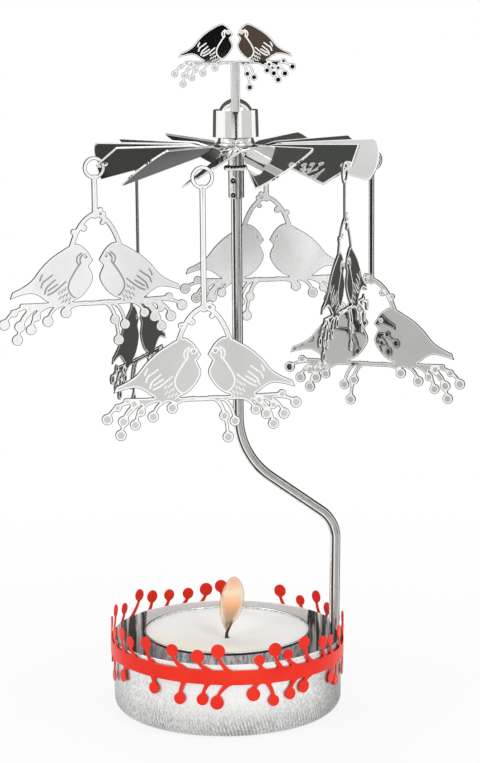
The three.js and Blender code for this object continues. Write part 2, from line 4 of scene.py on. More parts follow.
import bmesh
import bpy
import numpy as np
from bpy.props import FloatProperty, FloatVectorProperty, IntProperty, PointerProperty
from bpy.types import NodeSocket, Operator, Panel, PropertyGroup
from mathutils import Matrix, Vector
from mathutils.geometry import delaunay_2d_cdt
from mathutils.kdtree import KDTree


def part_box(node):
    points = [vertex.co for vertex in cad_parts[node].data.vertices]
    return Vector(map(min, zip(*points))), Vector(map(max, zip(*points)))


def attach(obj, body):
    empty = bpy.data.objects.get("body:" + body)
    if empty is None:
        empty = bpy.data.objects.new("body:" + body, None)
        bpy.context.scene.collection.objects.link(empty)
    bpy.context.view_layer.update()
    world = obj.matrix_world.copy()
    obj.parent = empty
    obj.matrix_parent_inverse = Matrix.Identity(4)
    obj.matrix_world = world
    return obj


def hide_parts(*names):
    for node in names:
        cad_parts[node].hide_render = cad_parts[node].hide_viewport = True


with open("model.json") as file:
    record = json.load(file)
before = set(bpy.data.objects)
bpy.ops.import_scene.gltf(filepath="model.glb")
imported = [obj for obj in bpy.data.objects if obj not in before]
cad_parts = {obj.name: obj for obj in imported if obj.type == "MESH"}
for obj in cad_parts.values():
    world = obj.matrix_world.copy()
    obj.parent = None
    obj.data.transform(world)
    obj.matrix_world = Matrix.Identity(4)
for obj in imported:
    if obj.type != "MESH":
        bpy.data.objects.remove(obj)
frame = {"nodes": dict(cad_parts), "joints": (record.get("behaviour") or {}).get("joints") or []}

bl_info = {
    "name": "Candle Carousel",
    "version": (1, 0, 0),
    "blender": (4, 5, 0),
    "location": "View3D > Sidebar > Carousel",
    "description": "Builds the cup, berry band, pole, rotor, charms and tealight of a candle carousel",
    "category": "Object",
}

MM = 0.001
JOINTS = {joint["child"]: joint for joint in frame["joints"]}
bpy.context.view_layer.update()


# Sizes and colours that a user may change

def length(name, description, millimetres):
    size = millimetres * MM
    return FloatProperty(name=name, description=description, default=size, unit="LENGTH", precision=5)


def angle(name, description, degrees):
    turn = math.radians(degrees)
    return FloatProperty(name=name, description=description, default=turn, subtype="ANGLE")


def colour(name, description, value):
    return FloatVectorProperty(
        name=name, description=description, default=value, subtype="COLOR", min=0, max=1
    )


class CarouselCupSettings(PropertyGroup):
    radius: length("Radius", "Outer radius at the rim", 26.1)
    height: length("Height", "Height of the rim over the table", 17)
    wall: length("Wall", "Thickness of the drawn sheet", 0.35)
    floor: length("Floor", "Thickness of the bottom", 0.8)
    bend: length("Bend", "Outer radius between the bottom and the wall", 2.6)
    steel: colour("Steel", "Colour of the satin outside", (0.93, 0.93, 0.91))


class CarouselBandSettings(PropertyGroup):
    gap: length("Gap", "Clearance between the band and the cup", 0.25)
    thickness: length("Thickness", "Thickness of the band's sheet", 0.4)
    height: length("Height", "Height of the plain strip", 3.2)
    middle: length("Middle", "Height of the strip's middle over the table", 14.2)
    tilt: angle("Tilt", "How far the left end stands up", 1)
    paint: colour("Paint", "Colour of the painted band and berries", (0.87, 0.019, 0.009))


class CarouselPoleSettings(PropertyGroup):
    radius: length("Radius", "Radius of the rod", 1.2)
    foot: length("Foot", "Distance of the foot from the cup's axis", 24.3)
    lean: length("Lean", "How far the upright part leans out", 0.6)
    spindle: length("Spindle", "Distance of the rotor's axis from the cup's axis", 3.05)
    top: length("Top", "Height of the rod's top over the table", 121.2)


class CarouselRotorSettings(PropertyGroup):
    hub_top: length("Hub Top", "Height of the sheet's upper face at the hub", 128)
    sheet: length("Sheet", "Thickness of the rotor's sheet", 0.4)
    pairs: IntProperty(
        name="Pairs", description="Pairs of one hanging and one plain vane", default=6, min=2, max=12
    )
    pitch: angle("Pitch", "Twist of each vane", 31)
    droop: angle("Droop", "How far each vane falls outwards", 6.5)
    turn: angle("Turn", "Angle of the first hanging vane", 19.4)
    # The underside's near black tone is a painted shade, for the dark that the polished undersides reflect
    underside: colour("Underside", "Tone of the vanes' underside", (0.05, 0.05, 0.047))


class CarouselCharmSettings(PropertyGroup):
    sheet: length("Sheet", "Thickness of a charm's sheet", 0.45)
    # The pale border is a painted highlight, the bright edge given a frosted finish; the dark chamfer is a
    # painted shade along every edge
    rim: length("Rim", "How far the pale border reaches in from every edge", 0.46)
    edge_shade: length("Burr", "Width of the dark chamfer along every edge", 0.14)
    mark: length("Mark", "Width of an etched line", 0.38)
    steel: colour("Steel", "Tone of the polished faces", (0.62, 0.63, 0.61))
    frost: colour("Frost", "Tone of the etched marks", (1.0, 1.0, 0.98))
    # Satin is the tone of paler, duller copies of the steel that single charms get: a painted reflection of the
    # bright light they face
    satin: colour("Satin", "Tone of the duller polished faces", (0.9, 0.9, 0.9))


class CarouselTealightSettings(PropertyGroup):
    radius: length("Radius", "Radius of the foil cup at its lip", 19)
    height: length("Height", "Height of the foil cup", 16.6)
    wax: colour("Wax", "Colour of the candle wax", (0.97, 0.955, 0.92))
    flame: colour("Flame", "Colour of the flame where it is brightest", (1.0, 0.84, 0.58))


class CarouselStageSettings(PropertyGroup):
    distance: length("Distance", "Distance of the camera in front of the cup's axis", 496)
    height: length("Height", "Height of the camera over the table", 163.5)
    down: angle("Down", "How far the camera looks down", 10.1)
    lens: FloatProperty(name="Lens", description="Focal length in millimetres", default=105.7, min=20, max=300)


SETTINGS = {
    "carousel_cup": CarouselCupSettings,
    "carousel_band": CarouselBandSettings,
    "carousel_pole": CarouselPoleSettings,
    "carousel_rotor": CarouselRotorSettings,
    "carousel_charm": CarouselCharmSettings,
    "carousel_tealight": CarouselTealightSettings,
    "carousel_stage": CarouselStageSettings,
}


# Node trees

class Graph:
    """The nodes of one tree. An input takes a plain value, or the output that feeds it."""

    def __init__(self, tree):
        self.tree = tree

    def set(self, node, socket, value):
        entry = node.inputs[socket]
        if isinstance(value, NodeSocket):
            self.tree.links.new(value, entry)
        elif entry.type == "RGBA" and len(value) == 3:
            entry.default_value = (*value, 1)
        else:
            entry.default_value = value

    def add(self, kind, *values, settings=None, **inputs):
        """A new node. Plain values go to its first inputs, and named ones to the inputs of that name."""
        node = self.tree.nodes.new(kind)
        for name, value in (settings or {}).items():
            setattr(node, name, value)
        for index, value in enumerate(values):
            self.set(node, index, value)
        for name, value in inputs.items():
            self.set(node, name.replace("_", " "), value)
        return node

    def math(self, operation, *values):
        return self.add("ShaderNodeMath", *values, settings={"operation": operation}).outputs[0]

    def mix(self, share, first, second):
        """A shader between two others."""
        return self.add("ShaderNodeMixShader", share, first, second).outputs[0]

    def seen(self):
        """One for rays from the camera, from gloss and through glass, which see the pale background."""
        path = self.add("ShaderNodeLightPath").outputs
        seen = self.math("MAXIMUM", path["Is Camera Ray"], path["Is Glossy Ray"])
        return self.math("MAXIMUM", seen, path["Is Transmission Ray"])


class Finish(Graph):
    """One node material. Its patterns read the object's own coordinates."""

    def __init__(self, name, **constants):
        self.material = bpy.data.materials.new(name)
        self.material.use_nodes = True
        super().__init__(self.material.node_tree)
        self.shader = self.tree.nodes["Principled BSDF"]
        self.place = self.add("ShaderNodeTexCoord").outputs["Object"]
        for socket, value in constants.items():
            self.set(self.shader, socket.replace("_", " "), value)

    def noise(self, scale, detail=3, roughness=0.55, distortion=0, place=None):
        """Noise with one scale, or with one for each axis."""
        mapping = self.add("ShaderNodeMapping", Vector=place or self.place, Scale=tuple(np.ones(3) * scale))
        return self.add(
            "ShaderNodeTexNoise", Vector=mapping.outputs[0], Scale=1.0, Detail=float(detail),
            Roughness=roughness, Distortion=float(distortion),
        ).outputs["Fac"]

    def spread(self, value, start, end, low=0.0, high=1.0):
        """Turns the span from start to end into the one from low to high."""
        return self.add(
            "ShaderNodeMapRange", Value=value, From_Min=start, From_Max=end, To_Min=low, To_Max=high
        ).outputs[0]

    def blend(self, share, first, second, way="MIX"):
        node = self.add("ShaderNodeMix", settings={"data_type": "RGBA", "blend_type": way})
        for socket, value in ((0, share), (6, first), (7, second)):
            self.set(node, socket, value)
        return node.outputs[2]

    def ramp(self, value, stops):
        """A tone that follows a value from zero to one, through stops of place and tone."""
        node = self.add("ShaderNodeValToRGB", value)
        line = node.color_ramp.elements
        while len(line) < len(stops):
            line.new(0.5)
        for element, (place, tone) in zip(line, sorted(stops)):
            element.position = place
            element.color = (*tone, 1)
        return node.outputs["Color"]

    def axes(self):
        return self.add("ShaderNodeSeparateXYZ", self.place).outputs

    def paint(self, tone):
        self.set(self.shader, "Base Color", tone)

    def tint(self, value, first, second, start=0.35, end=0.65):
        self.paint(self.blend(self.spread(value, start, end), first, second))

    def rough(self, value, low, high):
        self.set(self.shader, "Roughness", self.spread(value, 0.35, 0.65, low, high))

    def bump(self, height, distance, strength):
        node = self.add("ShaderNodeBump", Height=height, Distance=distance, Strength=strength)
        self.set(self.shader, "Normal", node.outputs[0])

    def streaks(self, across, depth, stops, grain, strength):
        """Lengthwise streaks round a rod: a painted reflection, fixed to the angle from the front, with random
        wear over it. Stops give an angle from the front, and a tone.
        """
        turn = self.math("ARCTAN2", across, self.math("MULTIPLY", depth, -1.0))
        places = [((degrees + 180) / 360, (grey, grey, grey * 0.975)) for degrees, grey in stops]
        tone = self.ramp(self.spread(turn, -math.pi, math.pi), places)
        worn = self.blend(self.spread(grain, 0.38, 0.6), (0.2, 0.19, 0.18), (1, 1, 1))
        self.paint(self.blend(strength, tone, worn, "MULTIPLY"))

    def glow(self, tone, strength=1.0):
        return self.add("ShaderNodeEmission", tone, strength).outputs[0]

    def end(self, shader):
        """Sends a shader of its own to the output. Gives the material."""
        self.set(self.tree.nodes["Material Output"], "Surface", shader)
        return self.material


def surface(name, tint, rough=None, bump=None, **constants):
    """A material made of noises. Tint, rough and bump each start with the noise that they follow."""
    finish = Finish(name, **constants)
    for given, use in ((tint, finish.tint), (rough, finish.rough), (bump, finish.bump)):
        if given:
            use(finish.noise(*given[0]), *given[1:])
    return finish.material


def shade(tone, share):
    return tuple(min(channel * share, 1.0) for channel in tone)


# Materials

def satin_steel(tone):
    """Drawn sheet steel: fine speckle, and small wrinkles round the foot, drawn darker as well as bumped.
    Darker towards the bottom. Darker towards the two sides, with darker speckle there: painted shade for the
    dark that the sides reflect.
    """
    finish = Finish("satin_steel", Metallic=0.8)
    calc, spread, blend = finish.math, finish.spread, finish.blend
    grain = finish.noise((3600, 3600, 1300), 4, 0.8)
    cloud = finish.noise((75, 75, 120), 3)
    speck = spread(grain, 0.36, 0.6)
    x, y, z = finish.axes()
    waves = calc("SINE", calc("MULTIPLY_ADD", z, 2200.0, calc("MULTIPLY", calc("ARCTAN2", y, x), 200.0)))
    foot = calc("MULTIPLY", spread(z, 0.0012, 0.0062, 1.0, 0.0), spread(cloud, 0.4, 0.6, 0.3, 1.0))
    ridges = calc("MULTIPLY", spread(waves, -0.4, 0.9), foot)
    # Painted shade: the speckle's dark turns darker away from the middle
    middle = spread(calc("ABSOLUTE", x), 0.006, 0.021, 1.0, 0.0)
    plain = blend(speck, blend(middle, shade(tone, 0.5), shade(tone, 0.95)), shade(tone, 1.5))
    low = blend(speck, shade(tone, 0.26), shade(tone, 0.9))
    body = blend(spread(z, 0.001, 0.0085, 1.0, 0.0), plain, low)
    # Painted shade on the two sides, for the dark that they reflect
    sides = calc("ADD", spread(x, -0.0255, -0.021, 0.4, 0.0), spread(x, 0.0185, 0.0255, 0.0, 0.85))
    body = blend(calc("MULTIPLY", sides, spread(grain, 0.36, 0.6, 1.0, 0.7)), body, shade(tone, 0.1))
    finish.paint(blend(calc("MULTIPLY", ridges, 0.7), body, shade(tone, 0.16)))
    finish.rough(cloud, 0.26, 0.42)
    finish.bump(calc("MULTIPLY_ADD", ridges, 0.8, grain), 0.00003, 0.55)
    return finish.material


def drawn_inside(tone):
    """The cup's bright inside, barely metallic: its upright dark and pale streaks are a painted reflection, and
    it is painted darker towards the two sides as shade.
    """
    finish = Finish("cup_inside", Metallic=0.05)
    # The upright streaks, from near black to pale, are a painted reflection
    streak = finish.noise((330, 330, 45), 4, 0.7, 0.4)
    fine = finish.noise((2600, 2600, 300), 3)
    # Painted shade: more of the dark tone towards the two sides
    side = finish.spread(finish.math("ABSOLUTE", finish.axes()[0]), 0.012, 0.024, -0.22, 0.16)
    finish.tint(finish.math("SUBTRACT", streak, side), (0.05, 0.045, 0.038), tone, 0.36, 0.47)
    finish.rough(fine, 0.14, 0.3)
    finish.bump(fine, 0.00001, 0.5)
    return finish.material


def bright_steel(name, tone, low, high, lines, depth=0.9):
    """Bright steel with fine drawing lines and faint smears."""
    scratch = (lines, 4, 0.6)
    return surface(
        name, (scratch, shade(tone, depth), tone), ((130, 2), low, high), (scratch, 0.000006, 0.5), Metallic=1.0
    )


# Painted reflections: the bright and dark streaks on the polished rod and ferrule, as an angle from the front
# in degrees and a grey
ROD_REFLECTION_STREAKS = [
    (-180, 0.5), (-162, 0.85), (-150, 0.8), (-141, 0.2), (-132, 0.7), (-112, 0.6), (-96, 0.3), (-84, 0.6),
    (-66, 1.0), (-43, 0.95), (-38, 0.05), (-21, 0.05), (-16, 1.0), (-9, 0.95), (-2, 0.5), (22, 0.4), (40, 0.5),
    (46, 1.0), (52, 0.5), (59, 0.1), (88, 0.08), (98, 0.75), (122, 0.9), (134, 0.3), (150, 0.75), (168, 0.6),
]
FERRULE_REFLECTION_STREAKS = [
    (-180, 0.6), (-150, 0.9), (-135, 0.25), (-105, 0.5), (-84, 0.9), (-60, 1.0), (-12, 1.0), (-5, 0.25),
    (6, 0.35), (13, 0.75), (22, 0.2), (42, 0.25), (52, 0.7), (66, 0.12), (96, 0.5), (130, 0.9),
    (150, 0.3), (170, 0.55),
]


def drawn_rod():
    """Cold drawn rod with lengthwise streaks round it, a painted reflection. The attribute called around tells
    the place on the section.
    """
    finish = Finish("pole_steel", Metallic=1.0)
    around = finish.add("ShaderNodeAttribute", settings={"attribute_name": "around"}).outputs["Vector"]
    across, depth, _ = finish.add("ShaderNodeSeparateXYZ", around).outputs
    grain = finish.noise((9, 9, 900), 3, 0.5, place=around)
    finish.streaks(across, depth, ROD_REFLECTION_STREAKS, grain, 0.3)
    finish.rough(grain, 0.12, 0.26)
    return finish.material


def crimped_tube(spindle):
    """Ferrule steel, mottled where it was worked, with lengthwise streaks round it that are a painted
    reflection.
    """
    finish = Finish("ferrule_steel", Metallic=1.0)
    x, y, _ = finish.axes()
    grain = finish.noise((1700, 1700, 800), 4, 0.75)
    finish.streaks(finish.math("SUBTRACT", x, spindle), y, FERRULE_REFLECTION_STREAKS, grain, 0.55)
    finish.rough(grain, 0.14, 0.34)
    finish.bump(grain, 0.00002, 0.5)
    return finish.material


def mirror_steel(name, tone, low=0.015, high=0.05, **constants):
    """Mirror polish with hair scratches and slight smears."""
    cloud, scratch = (70, 3), ((2600, 2600, 240), 3, 0.6, 0.4)
    return surface(
        name, (cloud, shade(tone, 0.94), shade(tone, 1.04)), (cloud, low, high), (scratch, 0.000002, 0.3),
        **{"Metallic": 1.0, **constants},
    )


def frosted_steel(tone):
    """Etched steel: pale, matt and finely pitted. On the pale borders along edges it is a painted highlight."""
    pits = (9000, 2)
    return surface("frosted_steel", (pits, shade(tone, 0.93), tone), None, (pits, 0.00001, 0.5), Roughness=0.6)


def red_paint(tone):
    """Smooth glossy paint, a little warmer and paler where it is thin."""
    thin = (tone[0] * 1.08, tone[1] * 2.2, tone[2] * 1.9)
    return surface(
        "red_paint", (((60, 60, 90), 3), tone, thin), None, ((1500, 2), 0.000012, 0.4),
        Roughness=0.34, Specular_IOR_Level=0.16,
    )


def foil_metal():
    """Pressed foil: bright, drawn upright and finely creased."""
    draw, crease = ((1300, 1300, 420), 4, 0.75), ((420, 420, 160), 2, 0.5, 0.6)
    return surface(
        "foil", (draw, (0.26, 0.28, 0.31), (1.0, 1.0, 1.0), 0.38, 0.6), (crease, 0.24, 0.42),
        (crease, 0.00008, 0.5), Metallic=0.25,
    )


def foil_fold(tone):
    """The tight fold under the foil's lip, where little light gets in."""
    return surface("foil_fold", ((900, 2), shade(tone, 0.6), tone), Metallic=0.5, Roughness=0.4)


def candle_wax(tone):
    """Smooth wax with faint clouds, creamier towards the front left."""
    finish = Finish(
        "wax", Roughness=0.42, Subsurface_Weight=0.35, Subsurface_Radius=(0.004, 0.003, 0.002),
        Subsurface_Scale=1.0,
    )
    pale = finish.blend(finish.noise(70, 3), shade(tone, 0.97), shade(tone, 1.03))
    x, y, _ = finish.axes()
    warm = finish.spread(finish.math("ADD", finish.math("MULTIPLY", x, 0.5), y), -0.018, -0.006, 1.0, 0.0)
    finish.paint(finish.blend(warm, pale, (tone[0] * 1.02, tone[1] * 0.96, tone[2] * 0.82)))
    finish.bump(finish.noise(900, 3), 0.00002, 0.35)
    return finish.material


def charred_wick():
    """Burnt cotton, nearly black and fibrous."""
    fibre = ((5200, 5200, 1300), 4, 0.7)
    dark, ash = (0.012, 0.008, 0.009), (0.085, 0.05, 0.045)
    return surface("wick", (fibre, dark, ash), None, (fibre, 0.00006, 0.9), Roughness=0.85)


def glowing(name):
    """A finish without the usual shader, for what gives light."""
    finish = Finish(name)
    finish.tree.nodes.remove(finish.shader)
    return finish


FLAME_FOOT, FLAME_SPAN = 19, 11  # height where the flame's tones start and how far they reach, in millimetres
FLICKER = 1.2  # how far noise moves the tones, in millimetres


def flame_glow(name, tones, cover, strength):
    """Glowing gas. Tones are pairs of a height in millimetres and a tone. Cover is the share hidden of what is
    behind, at the wick and higher up."""
    finish = glowing(name)
    height = finish.math("MULTIPLY_ADD", finish.noise((260, 260, 160), 2), FLICKER * MM, finish.axes()[2])
    foot = (FLAME_FOOT + FLICKER / 2) * MM
    places = [((place - FLAME_FOOT) / FLAME_SPAN, tone) for place, tone in tones]
    tone = finish.ramp(finish.spread(height, foot, foot + FLAME_SPAN * MM), places)
    hidden = finish.spread(height, foot, foot + 3 * MM, *cover)
    clear = finish.add("ShaderNodeBsdfTransparent").outputs[0]
    return finish.end(finish.mix(hidden, clear, finish.glow(tone, strength)))


# Mesh building. Plans are drawn in millimetres and become metres when a mesh is made.

def smooth_mesh(made, degrees):
    """Blends the faces that meet at less than an angle."""
    mesh = made.data
    mesh.polygons.foreach_set("use_smooth", np.ones(len(mesh.polygons), bool))
    mesh.set_sharp_from_angle(angle=math.radians(degrees))
    mesh.update()


def new_object(name, points, faces, materials=(), finishes=None, smooth=None, edges=()):
    """A mesh object at the origin. Points are in millimetres, and finishes choose a material for each face."""
    mesh = bpy.data.meshes.new(name)
    mesh.from_pydata((np.asarray(points, float) * MM).tolist(), edges, faces)
    for material in materials:
        mesh.materials.append(material)
    if finishes is not None:
        mesh.polygons.foreach_set("material_index", np.asarray(finishes, np.int32))
    mesh.update()
    made = bpy.data.objects.new(name, mesh)
    bpy.context.scene.collection.objects.link(made)
    if smooth is not None:
        smooth_mesh(made, smooth)
    return made


def face_out(made):
    """Turns every face of a closed shell outwards, once its doubled points are merged."""
    work = bmesh.new()
    work.from_mesh(made.data)
    bmesh.ops.remove_doubles(work, verts=work.verts, dist=0.000001)
    bmesh.ops.recalc_face_normals(work, faces=work.faces)
    work.to_mesh(made.data)
    work.free()
    return made


def skin(rings, loop=False):
    """Points, faces and face rows of a skin over rings of points. A ring of one point is a pole."""
    points = [point for ring in rings for point in ring]
    starts = np.cumsum([0] + [len(ring) for ring in rings]).tolist()
    faces, rows = [], []
    for row in range(len(rings) if loop else len(rings) - 1):
        after = (row + 1) % len(rings)
        low, high = starts[row], starts[after]
        count = max(len(rings[row]), len(rings[after]))
        for i in range(count):
            j = (i + 1) % count
            below = [low + i, low + j] if len(rings[row]) > 1 else [low]
            above = [high + j, high + i] if len(rings[after]) > 1 else [high]
            faces.append(below + above)
            rows.append(row)
    return points, faces, rows


def circle(radius, height, sides, centre=(0.0, 0.0)):
    if radius < 1e-6:
        return [(*centre, height)]
    turns = np.linspace(0, 2 * math.pi, sides, endpoint=False)
    return [(centre[0] + radius * math.cos(t), centre[1] + radius * math.sin(t), height) for t in turns]


def arc(centre, radius, start, end, steps):
    """Points of an arc in a profile, from one angle to another in degrees."""
    turns = np.radians(np.linspace(start, end, steps + 1))
    return [(centre[0] + radius * math.cos(t), centre[1] + radius * math.sin(t)) for t in turns]


def turned(name, profile, sides, materials, finishes=None, centre=(0.0, 0.0), loop=False, smooth=35):
    """A closed solid of revolution from a profile of radius and height. Finishes go by the profile's rows."""
    points, faces, rows = skin([circle(radius, height, sides, centre) for radius, height in profile], loop)
    chosen = [finishes[row] for row in rows] if finishes else None
    return face_out(new_object(name, points, faces, materials, chosen, smooth))


def curve_through(points, steps):
    """A smooth line through points, with the spacing between them kept in mind."""
    points = [np.array(point, float) for point in points]
    ends = [2 * points[0] - points[1]] + points + [2 * points[-1] - points[-2]]
    line = []
    for before, start, end, after in zip(ends, ends[1:], ends[2:], ends[3:]):
        first, gap, last = (
            max(np.linalg.norm(b - a), 1e-9) for a, b in ((before, start), (start, end), (end, after))
        )
        into = ((end - start) / gap + (start - before) / first) * gap / 2
        out = ((end - start) / gap + (after - end) / last) * gap / 2
        for t in np.linspace(0, 1, steps, endpoint=False):
            line.append(
                (2 * t**3 - 3 * t**2 + 1) * start
                + (t**3 - 2 * t**2 + t) * into
                + (3 * t**2 - 2 * t**3) * end
                + (t**3 - t**2) * out
            )
    return line + [points[-1]]


def bow(start, control, end, steps=8):
    """A quadratic curve, from its start to its end."""
    start, control, end = (np.array(point, float) for point in (start, control, end))
    return [(1 - t)**2 * start + 2 * t * (1 - t) * control + t**2 * end for t in np.linspace(0, 1, steps + 1)]


# Sheet metal: an outline is drawn as a field of distances on a fine grid, then cut out along it

def stroke_field(x, y, points, halves):
    """Distances to a line with a half width at each point."""
    best = np.full(x.shape, FAR)
    for (x0, y0), (x1, y1), h0, h1 in zip(points[:-1], points[1:], halves[:-1], halves[1:]):
        dx, dy = x1 - x0, y1 - y0
        share = np.clip(((x - x0) * dx + (y - y0) * dy) / max(dx * dx + dy * dy, 1e-12), 0, 1)
        gap = np.hypot(x - x0 - share * dx, y - y0 - share * dy)
        best = np.minimum(best, gap - (h0 + share * (h1 - h0)))
    return best


def polygon_field(x, y, points):
    """Distances to a closed outline, below zero inside it."""
    closed = list(points) + [points[0]]
    distance = stroke_field(x, y, closed, [0.0] * len(closed))
    inside = np.zeros(x.shape, bool)
    for (x0, y0), (x1, y1) in zip(closed[:-1], closed[1:]):
        if y0 != y1:
            crosses = (y0 > y) != (y1 > y)
            inside ^= crosses & (x < (x1 - x0) * (y - y0) / (y1 - y0) + x0)
    return np.where(inside, -distance, distance)


SNAP = 0.03  # a crossing keeps this share of a step away from the places of the grid


def crossings(field, level, xs, ys):
    """Points and edges of the line where a field crosses a level, one point on each crossed grid edge."""
    step = xs[1] - xs[0]
    values = field - level
    points, numbers, count = [], [], 0
    for dy, dx in ((0, 1), (1, 0)):
        near, far = values[:values.shape[0] - dy, :values.shape[1] - dx], values[dy:, dx:]
        r, c = np.nonzero((near < 0) != (far < 0))
        share = np.clip(near[r, c] / (near[r, c] - far[r, c]), SNAP, 1 - SNAP) * step
        points.append(np.stack([xs[c] + dx * share, ys[r] + dy * share], 1))
        number = np.full(near.shape, -1)
        number[r, c] = np.arange(len(r)) + count
        numbers.append(number)
        count += len(r)
    across, along = numbers
    sides = np.stack([across[:-1], along[:, 1:], across[1:], along[:, :-1]], -1)
    found = (sides >= 0).sum(-1)
    pair = sides[found == 2]
    edges = [pair[pair >= 0].reshape(-1, 2)]
    # Where all four edges of a cell are crossed, the sign at its middle tells which corners are cut off
    middle = (values[:-1, :-1] + values[1:, :-1] + values[:-1, 1:] + values[1:, 1:]) < 0
    same = middle == (values[:-1, :-1] < 0)
    bottom, right, top, left = range(4)
    for chosen, corners in ((same, [(bottom, right), (top, left)]), (~same, [(bottom, left), (right, top)])):
        edges += [sides[(found == 4) & chosen][:, corner] for corner in corners]
    return np.concatenate(points), np.concatenate(edges)


FAR = 9.0  # the value of a field where nothing is near
FIELD_REACH = 1.5  # how far round a shape its field is worked out
BACK_RIM = 0.65  # the pale border on the back, as a share of the one on the front
MARGIN = 0.06  # how far inside the metal its marks and lines stay
DEPTH_SPARE = 0.4  # how far past the border the depth is measured
# PALE is the pale border along the edges, a painted highlight, and the marks; EDGE is the dark chamfer, a
# painted shade
FRONT, BACK, PALE, EDGE, ETCHED = range(5)  # the finishes of a sheet's faces


def edge_key(a, b):
    return min(a, b), max(a, b)


def flood(triangles, blocked):
    """Numbers the regions between blocked edges. Also gives their count and the triangles beside each edge."""
    beside = {}
    for index, (a, b, c) in enumerate(triangles.tolist()):
        for key in (edge_key(a, b), edge_key(b, c), edge_key(c, a)):
            beside.setdefault(key, []).append(index)
    near = [[] for _ in triangles]
    for key, pair in beside.items():
        if key not in blocked and len(pair) == 2:
            near[pair[0]].append(pair[1])
            near[pair[1]].append(pair[0])
    region, count = np.full(len(triangles), -1), 0
    for seed in range(len(triangles)):
        if region[seed] < 0:
            region[seed] = count
            waiting = [seed]
            while waiting:
                for other in near[waiting.pop()]:
                    if region[other] < 0:
                        region[other] = count
                        waiting.append(other)
            count += 1
    return region, count, beside


